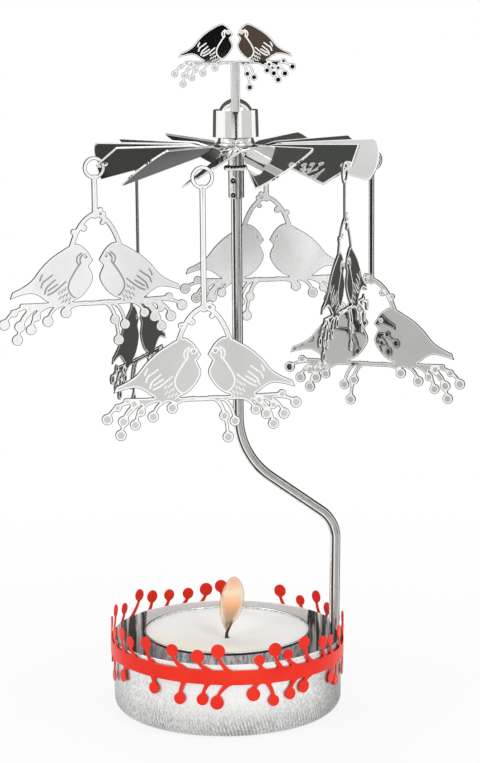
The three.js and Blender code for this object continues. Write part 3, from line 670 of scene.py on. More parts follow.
class Sheet:
    """A flat piece of sheet: metal is below zero, marks are on both faces and lines on the front alone."""

    def __init__(self, left, right, bottom, top, step=0.1):
        self.xs = np.arange(left, right + step, step)
        self.ys = np.arange(bottom, top + step, step)
        self.metal = np.full((len(self.ys), len(self.xs)), FAR)
        self.marks = self.metal.copy()
        self.lines = self.metal.copy()
        self.folds = []

    def draw(self, points, reach, shape, into="metal", blend=0.0, join=np.minimum):
        """Joins a shape to a field, within reach of some points. The shape gives distances across and up."""
        low = np.min(points, axis=0) - FIELD_REACH - reach
        high = np.max(points, axis=0) + FIELD_REACH + reach
        left, right = np.searchsorted(self.xs, (low[0], high[0]))
        bottom, top = np.searchsorted(self.ys, (low[1], high[1]))
        old = getattr(self, into)[bottom:top, left:right]
        part = shape(*np.meshgrid(self.xs[left:right], self.ys[bottom:top]))
        joined = join(old, part)
        if blend:
            joined = joined - np.maximum(blend - np.abs(old - part), 0)**2 / (4 * blend)
        old[:] = joined

    def polygon(self, points):
        self.draw(points, 0, lambda x, y: polygon_field(x, y, points))

    def stroke(self, points, width, end_width=None, blend=0.0, into="metal"):
        end_width = width if end_width is None else end_width
        halves = np.linspace(width, end_width, len(points)) / 2
        reach = max(width, end_width) / 2
        self.draw(points, reach, lambda x, y: stroke_field(x, y, points, halves), into, blend)

    def disc(self, x, y, radius, blend=0.0):
        self.draw([(x, y)], radius, lambda across, up: np.hypot(across - x, up - y) - radius, blend=blend)

    def ring(self, x, y, inner, outer):
        def shape(across, up):
            reach = np.hypot(across - x, up - y)
            return np.maximum(reach - outer, inner - reach)

        self.draw([(x, y)], outer, shape, "marks")

    def hole(self, x, y, radius):
        self.draw([(x, y)], radius, lambda across, up: radius - np.hypot(across - x, up - y), join=np.maximum)

    def sample(self, field, points):
        """Values of a field at points, between the places of its grid."""
        step = self.xs[1] - self.xs[0]
        column = np.clip((points[:, 0] - self.xs[0]) / step, 0, len(self.xs) - 1.001)
        row = np.clip((points[:, 1] - self.ys[0]) / step, 0, len(self.ys) - 1.001)
        c, r = column.astype(int), row.astype(int)
        a, b = column - c, row - r
        low = field[r, c] * (1 - a) + field[r, c + 1] * a
        high = field[r + 1, c] * (1 - a) + field[r + 1, c + 1] * a
        return low * (1 - b) + high * b

    def depth(self, outline, reach):
        """How far inside the metal each place lies, measured from the outline itself."""
        tree = KDTree(len(outline))
        for index, (x, y) in enumerate(outline):
            tree.insert((x, y, 0), index)
        tree.balance()
        depth = self.metal.copy()
        rows, columns = np.nonzero((depth < 0) & (depth > -reach))
        found = [tree.find((self.xs[c], self.ys[r], 0))[2] for r, c in zip(rows, columns)]
        depth[rows, columns] = -np.array(found)
        return depth

    def cut(self, thickness, rim=0.0, edge_shade=0.0, slope=0.05):
        """Cuts the sheet out. Gives points (across, up, out), faces, and the finish of each face. Rim is the
        width of the pale border, a painted highlight along the edge. The third argument is the width of the
        dark chamfer, a painted shade along the edge, and slope how far a face falls to its edge."""
        outline, outline_edges = crossings(self.metal, 0, self.xs, self.ys)
        depth = self.depth(outline, rim + DEPTH_SPARE)
        marks, lines = (np.maximum(field, depth + MARGIN) for field in (self.marks, self.lines))
        levels = [(depth, -level) for level in (rim, rim * BACK_RIM, edge_shade) if level] + [(marks, 0), (lines, 0)]
        drawn = [(outline, outline_edges)] + [crossings(*level, self.xs, self.ys) for level in levels]
        barriers = sum(len(edges) for _, edges in drawn)
        for fold in self.folds:
            drawn.append((np.array([(fold, self.ys[0]), (fold, self.ys[-1])]), np.array([[0, 1]])))
        starts = np.cumsum([0] + [len(points) for points, _ in drawn])
        places, edges, triangles, _, origins, _ = delaunay_2d_cdt(
            [Vector(point) for points, _ in drawn for point in points],
            np.concatenate([edges + start for (_, edges), start in zip(drawn, starts)]).tolist(), [], 0, 1e-6,
        )
        blocked, border = (
            {edge_key(*edge) for edge, origin in zip(edges, origins) if any(index < limit for index in origin)}
            for limit in (barriers, len(outline_edges))
        )
        places, triangles = np.array([place[:] for place in places]), np.array(triangles)
        corners = places[triangles]
        turn = np.cross(corners[:, 1] - corners[:, 0], corners[:, 2] - corners[:, 0])
        triangles[turn < 0] = triangles[turn < 0][:, ::-1]
        region, count, beside = flood(triangles, blocked)
        area, middles = np.abs(turn), corners.mean(1)
        weight = np.bincount(region, area, count) + 1e-12

        def mean(field):
            inside = area * np.clip(self.sample(field, middles), -1, 1)
            return (np.bincount(region, inside, count) / weight)[region]

        solid, inward, marked = mean(self.metal) < 0, mean(depth), mean(marks) < 0
        etched = np.where(mean(lines) < 0, ETCHED, FRONT)
        front, back = (
            np.where(inward > -edge_shade, EDGE, np.where(marked | (inward > -width), PALE, plain))
            for width, plain in ((rim, etched), (rim * BACK_RIM, BACK))
        )
        used = np.unique(triangles[solid]).tolist()
        number = {old: new for new, old in enumerate(used)}
        edge_points = {point for key in border for point in key}
        half = np.array([thickness / 2 - (slope if old in edge_points else 0) for old in used])
        points = np.concatenate([np.column_stack([places[used], side * half]) for side in (1, -1)])
        faces, finishes = [], []
        for index in np.nonzero(solid)[0].tolist():
            corners = triangles[index].tolist()
            a, b, c = (number[corner] for corner in corners)
            faces += [(a, b, c), (c + len(used), b + len(used), a + len(used))]
            finishes += [int(front[index]), int(back[index])]
            for p, q in zip(corners, corners[1:] + corners[:1]):
                key = edge_key(p, q)
                if key in border and sum(solid[other] for other in beside[key]) == 1:
                    i, j = number[p], number[q]
                    faces.append((j, i, i + len(used), j + len(used)))
                    finishes.append(EDGE)
        return points, faces, finishes


# Cup

class CAROUSEL_OT_cup(Operator):
    """Build the drawn steel cup with its satin outside and bright inside"""

    bl_idname = "carousel.cup"
    bl_label = "Cup"

    def execute(self, context):
        s = context.scene.carousel_cup
        radius, height, wall, floor, bend = (v / MM for v in (s.radius, s.height, s.wall, s.floor, s.bend))
        low, inner_bend, lip = radius - 0.1, bend - wall, wall / 2
        # The bottom is dished, and falls a little from the dish's edge to the ring that the cup stands on
        dish, dish_edge, dish_foot, rise = 0.25, radius * 0.62, radius * 0.66, 0.15
        profile = [(0, dish), (dish_edge, dish), (dish_foot, 0.08), (low - bend - 0.6, 0.02), (low - bend, 0)]
        profile += arc((low - bend, bend), bend, -90, 0, 14)[1:]
        finishes = [0] * len(profile)
        profile += [(radius, height - lip)] + arc((radius - lip, height - lip), lip, 0, 180, 8)[1:]
        profile += arc((low - bend, floor + inner_bend), inner_bend, 0, -90, 12)
        profile += [(dish_foot, floor), (dish_edge, floor + rise), (0, floor + rise)]
        finishes += [1] * (len(profile) - len(finishes))
        inside = drawn_inside((1.0, 0.99, 0.97))
        made = turned("cup_shell", profile, 192, [satin_steel(tuple(s.steel)), inside], finishes)
        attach(made, "base")
        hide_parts("cup")
        return {"FINISHED"}


# Berry band. Each berry: angle round the cup, height from the strip's middle, radius, and turn to its root

UPPER_BERRIES = [
    (206.9, 5.6, 1.45, 2.6), (215.3, 4.6, 1.35, 4.1), (227.1, 5.6, 1.5, 4.2), (242.7, 5.3, 1.4, 6.2),
    (255.6, 4.6, 1.5, 5.8), (265.4, 6.0, 1.55, 5.4), (285.1, 3.8, 1.2, 2.6), (292.9, 5.9, 1.5, 4.0),
    (299.9, 4.4, 1.15, 5.3), (309.4, 6.3, 1.5, 5.6), (322.8, 5.2, 1.4, 2.4), (329.8, 4.9, 1.2, 2.4),
    (341.0, 5.6, 1.3, 3.0), (352.0, 4.6, 1.3, 4.0), (4.0, 5.8, 1.4, 4.6), (15.0, 4.4, 1.2, 4.0),
    (27.8, 4.8, 1.45, 3.0), (37.6, 6.6, 1.45, -5.0), (49.0, 4.6, 1.25, -4.0), (61.5, 6.0, 1.5, -4.4),
    (93.2, 6.2, 1.5, -3.0), (101.0, 5.5, 1.55, 4.4), (110.7, 4.8, 1.35, 4.6), (121.5, 5.0, 1.35, 3.4),
    (132.2, 5.4, 1.5, 3.0), (141.5, 6.6, 1.4, 8.4), (155.0, 4.8, 1.3, 4.0), (167.0, 5.8, 1.4, 4.0),
    (177.0, 4.5, 1.2, 4.0), (187.0, 5.6, 1.35, 3.6), (196.5, 4.6, 1.3, 3.2),
]
LOWER_BERRIES = [
    (195.8, -5.6, 1.25, 0.8), (208.5, -4.0, 1.35, 3.6), (232.3, -4.1, 1.3, -0.8), (246.7, -5.4, 1.3, 2.4),
    (258.1, -5.1, 1.3, 2.8), (265.1, -5.7, 1.5, 5.6), (282.4, -3.9, 1.5, 2.2), (292.6, -5.7, 1.25, -3.6),
    (301.5, -4.7, 1.3, 3.2), (309.5, -3.7, 1.45, 4.0), (331.0, -3.9, 1.4, 1.2), (337.1, -5.3, 1.3, 0.4),
    (351.0, -4.6, 1.3, 3.0), (2.0, -5.4, 1.35, 3.4), (13.0, -3.9, 1.3, 2.6), (30.0, -5.3, 1.4, 3.6),
    (44.0, -4.2, 1.3, -3.0), (57.0, -5.6, 1.4, 3.0), (84.0, -4.4, 1.35, -3.0), (98.0, -5.5, 1.4, 3.4),
    (112.0, -4.3, 1.3, 3.0), (127.0, -5.5, 1.4, -3.4), (143.0, -4.2, 1.3, 3.2), (158.0, -5.4, 1.4, 3.0),
    (174.0, -4.2, 1.3, -2.8),
]
BAND_SEAM = 74.0  # the angle where the strip's ends meet
SEAM_GAP = 0.03  # between each end and the seam
STALK_ROOT, STALK_TIP = 1.0, 0.62  # widths of a stalk


def band_sheet(middle_radius, height):
    """The strip with its berries, unrolled from its seam."""
    around = 2 * math.pi * middle_radius
    per_degree, half = around / 360, height / 2
    sheet = Sheet(-1, around + 1, -8.5, 9.0)
    left, right = SEAM_GAP, around - SEAM_GAP
    sheet.polygon([(left, -half), (right, -half), (right, half), (left, half)])
    for place, level, radius, lean in UPPER_BERRIES + LOWER_BERRIES:
        x = ((place - BAND_SEAM) % 360) * per_degree
        root = (x + lean * per_degree, math.copysign(half - 0.3, level))
        bent = (x + 0.25 * lean * per_degree, root[1] + 0.35 * (level - root[1]))
        end = (x, level - math.copysign(radius * 0.7, level))
        sheet.stroke(bow(root, bent, end), STALK_ROOT, STALK_TIP, 0.5)
        sheet.disc(x, level, radius, 0.35)
    sheet.folds = np.arange(0.55, around, 0.6).tolist()
    return sheet


class CAROUSEL_OT_band(Operator):
    """Build the red painted band with its berries on stalks"""

    bl_idname = "carousel.band"
    bl_label = "Berry Band"

    def execute(self, context):
        s, cup = context.scene.carousel_band, context.scene.carousel_cup
        middle_radius = (cup.radius + s.gap + s.thickness / 2) / MM
        flat, faces, _ = band_sheet(middle_radius, s.height / MM).cut(s.thickness / MM, slope=0.07)
        turn = flat[:, 0] / middle_radius + math.radians(BAND_SEAM)
        reach = middle_radius + flat[:, 2]
        x, z, tilt = reach * np.cos(turn), flat[:, 1], s.tilt
        points = np.column_stack([
            x * math.cos(tilt) + z * math.sin(tilt),
            reach * np.sin(turn),
            z * math.cos(tilt) - x * math.sin(tilt) + s.middle / MM,
        ])
        made = new_object("berry_ring", points, faces, [red_paint(tuple(s.paint))], smooth=30)
        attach(made, "base")
        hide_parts("berry_band")
        return {"FINISHED"}


# Geometry node trees

class Growth(Graph):
    """A geometry tree. Each of its named inputs has a kind of socket, such as Float."""

    def __init__(self, name, **kinds):
        super().__init__(bpy.data.node_groups.new(name, "GeometryNodeTree"))
        sockets = self.tree.interface
        for label, kind in {"Geometry": "Geometry", **kinds}.items():
            sockets.new_socket(label, in_out="INPUT", socket_type="NodeSocket" + kind)
        sockets.new_socket("Geometry", in_out="OUTPUT", socket_type="NodeSocketGeometry")
        self.given = self.add("NodeGroupInput").outputs

    def end(self, geometry):
        self.add("NodeGroupOutput", Geometry=geometry)
        return self.tree


def rod_tree():
    """Sweeps a round section along a line of points."""
    graph = Growth("rod_along_line", Radius="Float", Sides="Int", Finish="Material")
    add, given = graph.add, graph.given
    line = add("GeometryNodeMeshToCurve", Mesh=given["Geometry"]).outputs[0]
    section = add("GeometryNodeCurvePrimitiveCircle", Resolution=given["Sides"], Radius=given["Radius"])
    sweep = add("GeometryNodeCurveToMesh", Curve=line, Profile_Curve=section.outputs[0], Fill_Caps=True)
    real = add("GeometryNodeRealizeInstances", Geometry=sweep.outputs[0]).outputs[0]
    return graph.end(add("GeometryNodeSetMaterial", Geometry=real, Material=given["Finish"]).outputs[0])


def wheel_tree():
    """Sets copies of a vane round an axis. Its faces are told apart by the attribute called side."""
    finishes = ("Upper", "Under", "Rim", "Edge")
    kinds = dict.fromkeys(finishes, "Material")
    graph = Growth("copies_round_axis", Copies="Int", Start="Float", Centre="Vector", **kinds)
    add, given = graph.add, graph.given
    points = add("GeometryNodePoints", Count=given["Copies"], Position=given["Centre"]).outputs[0]
    step = graph.math("DIVIDE", 2 * math.pi, given["Copies"])
    turn = graph.math("MULTIPLY_ADD", add("GeometryNodeInputIndex").outputs[0], step, given["Start"])
    about = add("ShaderNodeCombineXYZ", Z=turn).outputs[0]
    copies = add("GeometryNodeInstanceOnPoints", Points=points, Instance=given["Geometry"], Rotation=about)
    last = add("GeometryNodeRealizeInstances", Geometry=copies.outputs[0]).outputs[0]
    side = add("GeometryNodeInputNamedAttribute", settings={"data_type": "INT"}, Name="side").outputs[0]
    for number, label in enumerate(finishes):
        match = add("FunctionNodeCompare", settings={"data_type": "INT", "operation": "EQUAL"})
        graph.set(match, 2, side)
        graph.set(match, 3, number)
        last = add(
            "GeometryNodeSetMaterial", Geometry=last, Selection=match.outputs[0], Material=given[label]
        ).outputs[0]
    return graph.end(last)


def grow(source, tree, values):
    """Runs a tree on an object, with its inputs set by identifier, and leaves a plain mesh in its place."""
    modifier = source.modifiers.new(tree.name, "NODES")
    modifier.node_group = tree
    for item in tree.interface.items_tree:
        if item.item_type == "SOCKET" and item.in_out == "INPUT" and item.name in values:
            modifier[item.identifier] = values[item.name]
    source.update_tag()
    graph = bpy.context.evaluated_depsgraph_get()
    graph.update()
    mesh = bpy.data.meshes.new_from_object(source.evaluated_get(graph), depsgraph=graph)
    source.modifiers.remove(modifier)
    made = bpy.data.objects.new(source.name.replace("_plan", ""), mesh)
    mesh.name = made.name
    bpy.context.scene.collection.objects.link(made)
    bpy.data.objects.remove(source)
    return made


# Pole, ferrule, collar and needle

def rounded_corner(before, corner, after, radius, steps):
    """Points of the bend that rounds a corner of a line."""
    before, corner, after = (np.array(point, float) for point in (before, corner, after))
    into = (corner - before) / np.linalg.norm(corner - before)
    out = (after - corner) / np.linalg.norm(after - corner)
    half = math.acos(np.clip(np.dot(into, out), -1, 1)) / 2
    start = corner - into * radius * math.tan(half)
    centre = corner + (out - into) / np.linalg.norm(out - into) * radius / math.cos(half)
    first, side = start - centre, into * radius
    turns = [2 * half * i / steps for i in range(steps + 1)]
    return [centre + first * math.cos(t) + side * math.sin(t) for t in turns]


def pole_line(s):
    """The rod's middle line: upright inside the cup's wall, inwards, and upright again."""
    foot_height, low_bend, high_bend = 2.1, 42.8, 58.2
    foot = (s.foot / MM, 0, foot_height)
    lower = ((s.foot + s.lean) / MM, 0, low_bend)
    upper = (s.spindle / MM, 0, high_bend)
    top = (s.spindle / MM, 0, s.top / MM)
    bends = rounded_corner(foot, lower, upper, 7.7, 20) + rounded_corner(lower, upper, top, 17, 24)
    return np.array([foot, *bends, top])


CRIMPS = ((120.4, 0.75), (117.2, 0.7))  # height and width of each mark
CRIMP_TURN = math.radians(26)  # from the front to the left
CRIMP_DEPTH = 0.3
CRIMP_RING, CRIMP_SOFT = 0.5, 0.32  # where a mark is deepest and how fast it fades, as shares of its width


class CAROUSEL_OT_pole(Operator):
    """Build the bent rod with its crimped ferrule, the collar and the needle"""

    bl_idname = "carousel.pole"
    bl_label = "Pole"

    def execute(self, context):
        s = context.scene.carousel_pole
        line = pole_line(s)
        steps = [(i, i + 1) for i in range(len(line) - 1)]
        plan = new_object("pole_rod_plan", line, [], edges=steps)
        rod = grow(plan, rod_tree(), {"Radius": s.radius, "Sides": 48, "Finish": drawn_rod()})
        smooth_mesh(rod, 40)
        self.mark_section(rod, line)
        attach(rod, "base")
        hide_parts("pole")
        self.ferrule(s.spindle / MM, s.radius / MM + 0.15)
        self.collar(s.spindle / MM)
        self.needle(s.spindle / MM)
        return {"FINISHED"}

    def mark_section(self, rod, line):
        """Stores where each point lies on the rod's section, and how far along the rod."""
        mesh = rod.data
        points = np.empty(len(mesh.vertices) * 3)
        mesh.vertices.foreach_get("co", points)
        points = points.reshape(-1, 3) / MM
        best, places, run = np.full(len(points), 1e9), np.zeros((len(points), 3)), 0.0
        for start, end in zip(line[:-1], line[1:]):
            reach = np.linalg.norm(end - start)
            along = (end - start) / reach
            across = np.array([along[2], 0.0, -along[0]])
            share = np.clip((points - start) @ along, 0, reach)
            off = points - start - share[:, None] * along
            gap = np.linalg.norm(off, axis=1)
            nearer = gap < best
            best[nearer] = gap[nearer]
            places[nearer] = np.column_stack([off @ across, off[:, 1], (run + share) * MM])[nearer]
            run += reach
        mesh.attributes.new("around", "FLOAT_VECTOR", "POINT").data.foreach_set("vector", places.ravel())

    def ferrule(self, x, bore):
        outer, low, top, chamfer, sides = bore + 0.4, 116.4, 131.0, 0.25, 96
        profile = [(bore, low), (outer - chamfer, low)]
        profile += [(outer, z) for z in np.arange(low + chamfer, top - chamfer, 0.12)]
        profile += [(outer, top - chamfer), (outer - chamfer, top), (bore, top)]
        points, faces, _ = skin([circle(radius, z, sides) for radius, z in profile], loop=True)
        points = np.array(points)
        tube = crimped_tube(x * MM)
        marks = []
        for height, across in CRIMPS:
            mark = np.array([-math.sin(CRIMP_TURN) * outer, -math.cos(CRIMP_TURN) * outer, height])
            gap = np.linalg.norm(points - mark, axis=1)
            outside = np.hypot(points[:, 0], points[:, 1]) > outer - 0.05
            dent = CRIMP_DEPTH * np.exp(-((gap - across * CRIMP_RING) / (CRIMP_SOFT * across)) ** 2)
            points[:, :2] *= (1 - np.where(outside, dent, 0) / outer)[:, None]
            marks.append((mark, across))
        points[:, 0] += x
        middles = np.array([points[face].mean(0) for face in faces]) - (x, 0, 0)
        # Faces in the ring round each crimp mark take a near black steel: painted shadow in the dent
        crimp_shade_faces = np.zeros(len(faces), np.int32)
        for mark, across in marks:
            gap = np.linalg.norm(middles - mark, axis=1) / across
            crimp_shade_faces |= (gap > CRIMP_RING - 0.18) & (gap < CRIMP_RING + CRIMP_SOFT)
        shadow = bright_steel("crimp_steel", (0.03, 0.028, 0.026), 0.3, 0.4, (2400, 2400, 700), 0.5)
        made = face_out(new_object("ferrule_tube", points, faces, [tube, shadow], crimp_shade_faces, 50))
        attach(made, "base")
        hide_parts("ferrule")

    def collar(self, x):
        bore, reach, low, top, half = 1.9, 2.75, 122.6, 123.7, 0.55
        shade_height = 123.35  # the rotor's shadow lies above it
        steel = bright_steel("collar_steel", (0.85, 0.84, 0.82), 0.08, 0.16, (1500, 1500, 900))
        shaded = bright_steel("collar_shade", (0.05, 0.048, 0.045), 0.1, 0.2, (1500, 1500, 900))
        profile = [(bore, low)] + arc((reach - half, low + half), half, -90, 90, 16) + [(bore, top)]
        finishes = [int(height > shade_height) for _, height in profile]
        made = turned("ferrule_washer", profile, 96, [steel, shaded], finishes, (x, 0.0), loop=True)
        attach(made, "base")
        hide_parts("ferrule_collar")

    def needle(self, x):
        profile = [
            (0, 122.4), (0.5, 122.4), (0.6, 122.5), (0.6, 135.2), (0.45, 136.2), (0.22, 137.1), (0.08, 137.5),
            (0, 137.6),
        ]
        steel = mirror_steel("needle_steel", (0.7, 0.7, 0.7))
        made = turned("bearing_needle", profile, 32, [steel], centre=(x, 0.0))
        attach(made, "base")
        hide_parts("spindle_pin")


# Rotor

TWIST_START, TWIST_END = 6.0, 10.4  # distances from the axis between which a vane twists
SLIT = 0.9  # between two vanes
VANE_ROOT = 5.7


def vane_half_width(radius, count):
    return radius * math.tan(math.pi / count) - SLIT / 2


def vane_sheet(hanging, count):
    """A flat vane: across the sheet is the distance from the hub, and up is the side."""
    sheet = Sheet(4.5, 34, -8.5, 8.5)
    near = vane_half_width(VANE_ROOT, count)
    if hanging:
        shoulder, tip, hole = 29.4, 31.9, 30.7
        upper = [(VANE_ROOT, near), (shoulder, vane_half_width(shoulder, count)), (tip, 0.75)]
        sheet.polygon([(x, -y) for x, y in upper] + upper[::-1])
        sheet.disc(tip - 0.55, 0, 0.8, 0.3)
        sheet.hole(hole, 0, 1.0)
    else:
        shoulder, tip, bend = 30.4, 31.7, 0.9
        wide = vane_half_width(shoulder, count)
        corner = arc((shoulder - bend, wide - bend), bend, 80, 20, 5)
        end = bow((shoulder + 0.25, wide - 0.75), (tip, wide * 0.5), (tip, 0), 6)
        upper = [(VANE_ROOT, near)] + corner + end
        sheet.polygon([(x, -y) for x, y in upper] + [(x, y) for x, y in upper[-2::-1]])
    sheet.folds = np.arange(TWIST_START, TWIST_END + 0.1, 0.22).tolist()
    return sheet


def twist_vane(points, s):
    """Twists and lowers a flat vane, in millimetres about the rotor's axis."""
    radius, side, out = points[:, 0], points[:, 1], points[:, 2]
    share = np.clip((radius - TWIST_START) / (TWIST_END - TWIST_START), 0, 1)
    twist = s.pitch * share * share * (3 - 2 * share)
    level = (s.hub_top - s.sheet / 2) / MM - math.tan(s.droop) * np.maximum(radius - TWIST_START, 0)
    return np.column_stack([
        radius,
        side * np.cos(twist) - out * np.sin(twist),
        level + side * np.sin(twist) + out * np.cos(twist),
    ])


class CAROUSEL_OT_rotor(Operator):
    """Build the sheet with twelve twisted vanes"""

    bl_idname = "carousel.rotor"
    bl_label = "Rotor"

    def execute(self, context):
        s, spindle = context.scene.carousel_rotor, context.scene.carousel_pole.spindle
        upper = mirror_steel("vane_upper", (0.66, 0.66, 0.65))
        # The vanes' underside: a near black copy of the mirror steel, painted shade
        under = mirror_steel("vane_under", tuple(s.underside), 0.06, 0.12, Specular_Tint=(0.55, 0.55, 0.55, 1))
        rim = frosted_steel((1.0, 1.0, 0.99))
        edge = bright_steel("vane_edge", (0.9, 0.9, 0.89), 0.3, 0.4, 900)
        tree = wheel_tree()
        step = math.pi / s.pairs
        for name, hanging, start in (("rotor_hanging", True, s.turn), ("rotor_plain", False, s.turn + step)):
            # rim=0.3 gives each vane a pale frosted border: a painted highlight along its edge
            flat, faces, sides = vane_sheet(hanging, 2 * s.pairs).cut(s.sheet / MM, rim=0.3, slope=0.03)
            vane = new_object(name + "_plan", twist_vane(flat, s), faces)
            mark = vane.data.attributes.new("side", "INT", "FACE")
            mark.data.foreach_set("value", np.asarray(sides, np.int32))
            made = grow(vane, tree, {
                "Copies": s.pairs, "Start": start, "Centre": (spindle, 0.0, 0.0),
                "Upper": upper, "Under": under, "Rim": rim, "Edge": edge,
            })
            smooth_mesh(made, 25)
            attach(made, "rotor")
            if hanging:
                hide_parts("rotor_vanes")
        self.hub(s, spindle / MM, upper, under)
        return {"FINISHED"}

    def hub(self, s, spindle, upper, under):
        top, low = s.hub_top / MM, (s.hub_top - s.sheet) / MM
        hole, reach, chamfer = 3.55, 6.3, 0.05
        profile = [(hole, low), (reach - chamfer, low), (reach, low + chamfer)]
        profile += [(reach, top - chamfer), (reach - chamfer, top), (hole, top)]
        # The hub's lower face and lower chamfer take the underside's painted shade
        made = turned("rotor_hub", profile, 96, [upper, under], [1, 1, 0, 0, 0, 0], (spindle, 0.0), loop=True)
        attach(made, "rotor")


# Pivot cap and clamp sleeve

class CAROUSEL_OT_cap(Operator):
    """Build the domed pivot cap and the split sleeve round it"""

    bl_idname = "carousel.cap"
    bl_label = "Cap and Sleeve"

    def execute(self, context):
        s, spindle = context.scene.carousel_rotor, context.scene.carousel_pole.spindle / MM
        self.cap(s.hub_top / MM, s.sheet / MM, spindle)
        self.sleeve(spindle)
        return {"FINISHED"}

    def cap(self, hub, sheet, spindle):
        steel = bright_steel("cap_steel", (0.88, 0.88, 0.86), 0.05, 0.1, (1200, 1200, 600))
        top, outer, inner, neck = 138.4, 3.9, 3.4, 2.9
        centre, under, flange, curl = top - outer, hub - sheet - 0.15, 0.4, 0.3
        profile = [(0, centre + inner)] + arc((0, centre), inner, 90, 0, 24)[1:]
        profile += [(inner, hub + 1.6), (neck, hub + 0.8), (neck, under - 0.6)]
        profile += arc((3.8, under - curl), curl, -90, 90, 8) + [(inner, under), (inner, hub), (4.0, hub)]
        profile += arc((4.0, hub + flange), flange, -90, 60, 8) + [(outer, hub + 1.5)]
        profile += arc((0, centre), outer, 0, 90, 28)[:-1] + [(0, centre + outer)]
        made = turned("cap_dome", profile, 128, [steel], centre=(spindle, 0.0), smooth=32)
        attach(made, "rotor")
        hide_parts("pivot_cap")

    def sleeve(self, spindle):
        steel = bright_steel("sleeve_steel", (0.97, 0.97, 0.95), 0.05, 0.1, (1500, 1500, 500), 0.96)
        inner, wall, low, high, gap = 4.66, 0.32, 130.0, 135.9, 0.15
        radius = inner + wall / 2
        around = 2 * math.pi * radius
        sheet = Sheet(-1, around + 1, low - 1, high + 1)
        notch = [(gap, high - 3.2), (0.28, high - 0.95), (0.75, high)]
        sheet.polygon([(gap, low), (around - gap, low)] + [(around - x, z) for x, z in notch] + notch[::-1])
        sheet.folds = np.arange(0.2, around, 0.2).tolist()
        flat, faces, _ = sheet.cut(wall, slope=0.04)
        turn = flat[:, 0] / radius - math.pi / 2
        flare = 0.15 * (high - flat[:, 1]) / (high - low)
        reach = radius + flat[:, 2] + np.where(flat[:, 2] > 0, flare, 0)
        points = np.column_stack([spindle + reach * np.cos(turn), reach * np.sin(turn), flat[:, 1]])
        made = new_object("clamp_ring", points, faces, [steel], smooth=25)
        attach(made, "rotor")
        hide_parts("clamp_sleeve")


# Birds on a berried branch. Outlines are shares of one bird's length and height, the beak toward the middle.

BIRD_LENGTH, BIRD_HEIGHT, BIRD_GAP = 18.8, 12.4, 1.3
BIRD_BACK = [
    (0, 0.7), (0.085, 0.9), (0.185, 1), (0.275, 0.97), (0.38, 0.885),
    (0.5, 0.77), (0.63, 0.59), (0.735, 0.4), (0.835, 0.295), (0.97, 0.2),
]
BIRD_BELLY = [
    (1, 0.085), (0.85, 0.15), (0.73, 0.165), (0.64, 0.1), (0.56, 0.01),
    (0.38, -0.03), (0.19, 0.03), (0.075, 0.18), (0.005, 0.4), (0.055, 0.6),
]
BREAST_LINE = [(3.5, 8.2), (4.3, 7.2), (5.3, 5.7), (6.1, 4.2), (6.4, 2.8), (6.0, 1.7), (5.3, 0.9), (4.4, 0.5)]
CHEEK_LINES = [
    [(3.3, 10.3), (4.1, 9.7), (4.4, 8.9), (4.1, 8.0)],
    [(1.9, 10.1), (2.9, 9.95), (3.55, 9.3), (3.6, 8.6), (3.5, 8.2)],
]
WING_LINES = [
    [(12.7, 4.8), (12.5, 5.4), (12.1, 6.1)],
    [(12.5, 3.3), (12.1, 4.3), (11.0, 5.1), (9.9, 5.9)],
    [(11.7, 1.9), (11.3, 3.1), (10.3, 4.0), (9.3, 4.8)],
    [(10.9, 2.5), (9.9, 3.1), (8.8, 3.8)],
    [(11.0, 1.6), (9.8, 2.1), (8.5, 3.0), (6.9, 4.3)],
]
BELLY_DASHES = [
    [(8.6, 1.7), (8.2, 2.4)], [(7.9, 1.9), (7.4, 2.7)], [(7.2, 2.4), (6.9, 3.1)],
    [(8.5, 0.5), (8.0, 1.2)], [(7.7, 0.8), (7.1, 1.6)], [(6.9, 1.2), (6.5, 1.8)],
    [(7.9, -0.2), (7.4, 0.3)], [(7.1, -0.1), (6.6, 0.7)], [(6.3, 0.2), (5.9, 0.8)],
    [(6.4, -0.6), (6.0, -0.2)], [(5.5, -0.3), (5.1, 0.2)],
]
EYE = (2.3, 9.5)
# Berries: place across and up from the branch's top, radius, and where the stalk leaves the branch
LEFT_BERRIES = [
    (-20.8, -4.4, 1.2, -13.9), (-18.6, -2.0, 0.85, -13.3), (-17.4, -5.0, 1.2, -11.8), (-18.0, -7.9, 1.2, -11.4),
    (-14.9, -5.8, 1.15, -10.4), (-15.1, -1.3, 0.9, -10.8), (-13.6, -3.1, 0.95, -9.0), (-11.1, -4.2, 1.2, -7.0),
    (-7.0, -2.5, 1.2, -2.3),
]
RIGHT_BERRIES = [
    (4.1, -4.6, 1.1, 1.0), (4.9, -9.2, 1.2, 1.9), (6.4, -5.8, 1.15, 2.8), (10.9, -3.5, 1.1, 6.2),
    (11.6, -1.5, 0.85, 7.8), (13.2, -4.5, 1.2, 8.2), (14.7, -2.7, 0.85, 10.2), (14.7, -6.7, 1.2, 9.6),
    (17.0, -4.6, 1.2, 11.3), (16.6, -0.3, 0.9, 12.4), (19.6, -2.3, 1.2, 13.0),
]
EYE_RADIUS = 0.2
BRANCH_HALF, BRANCH_DROP = 16.8, 0.5  # half the branch's length, and how low its ends lie
TWIG_ROOT, TWIG_TIP = 0.85, 0.7  # widths of a berry's stalk


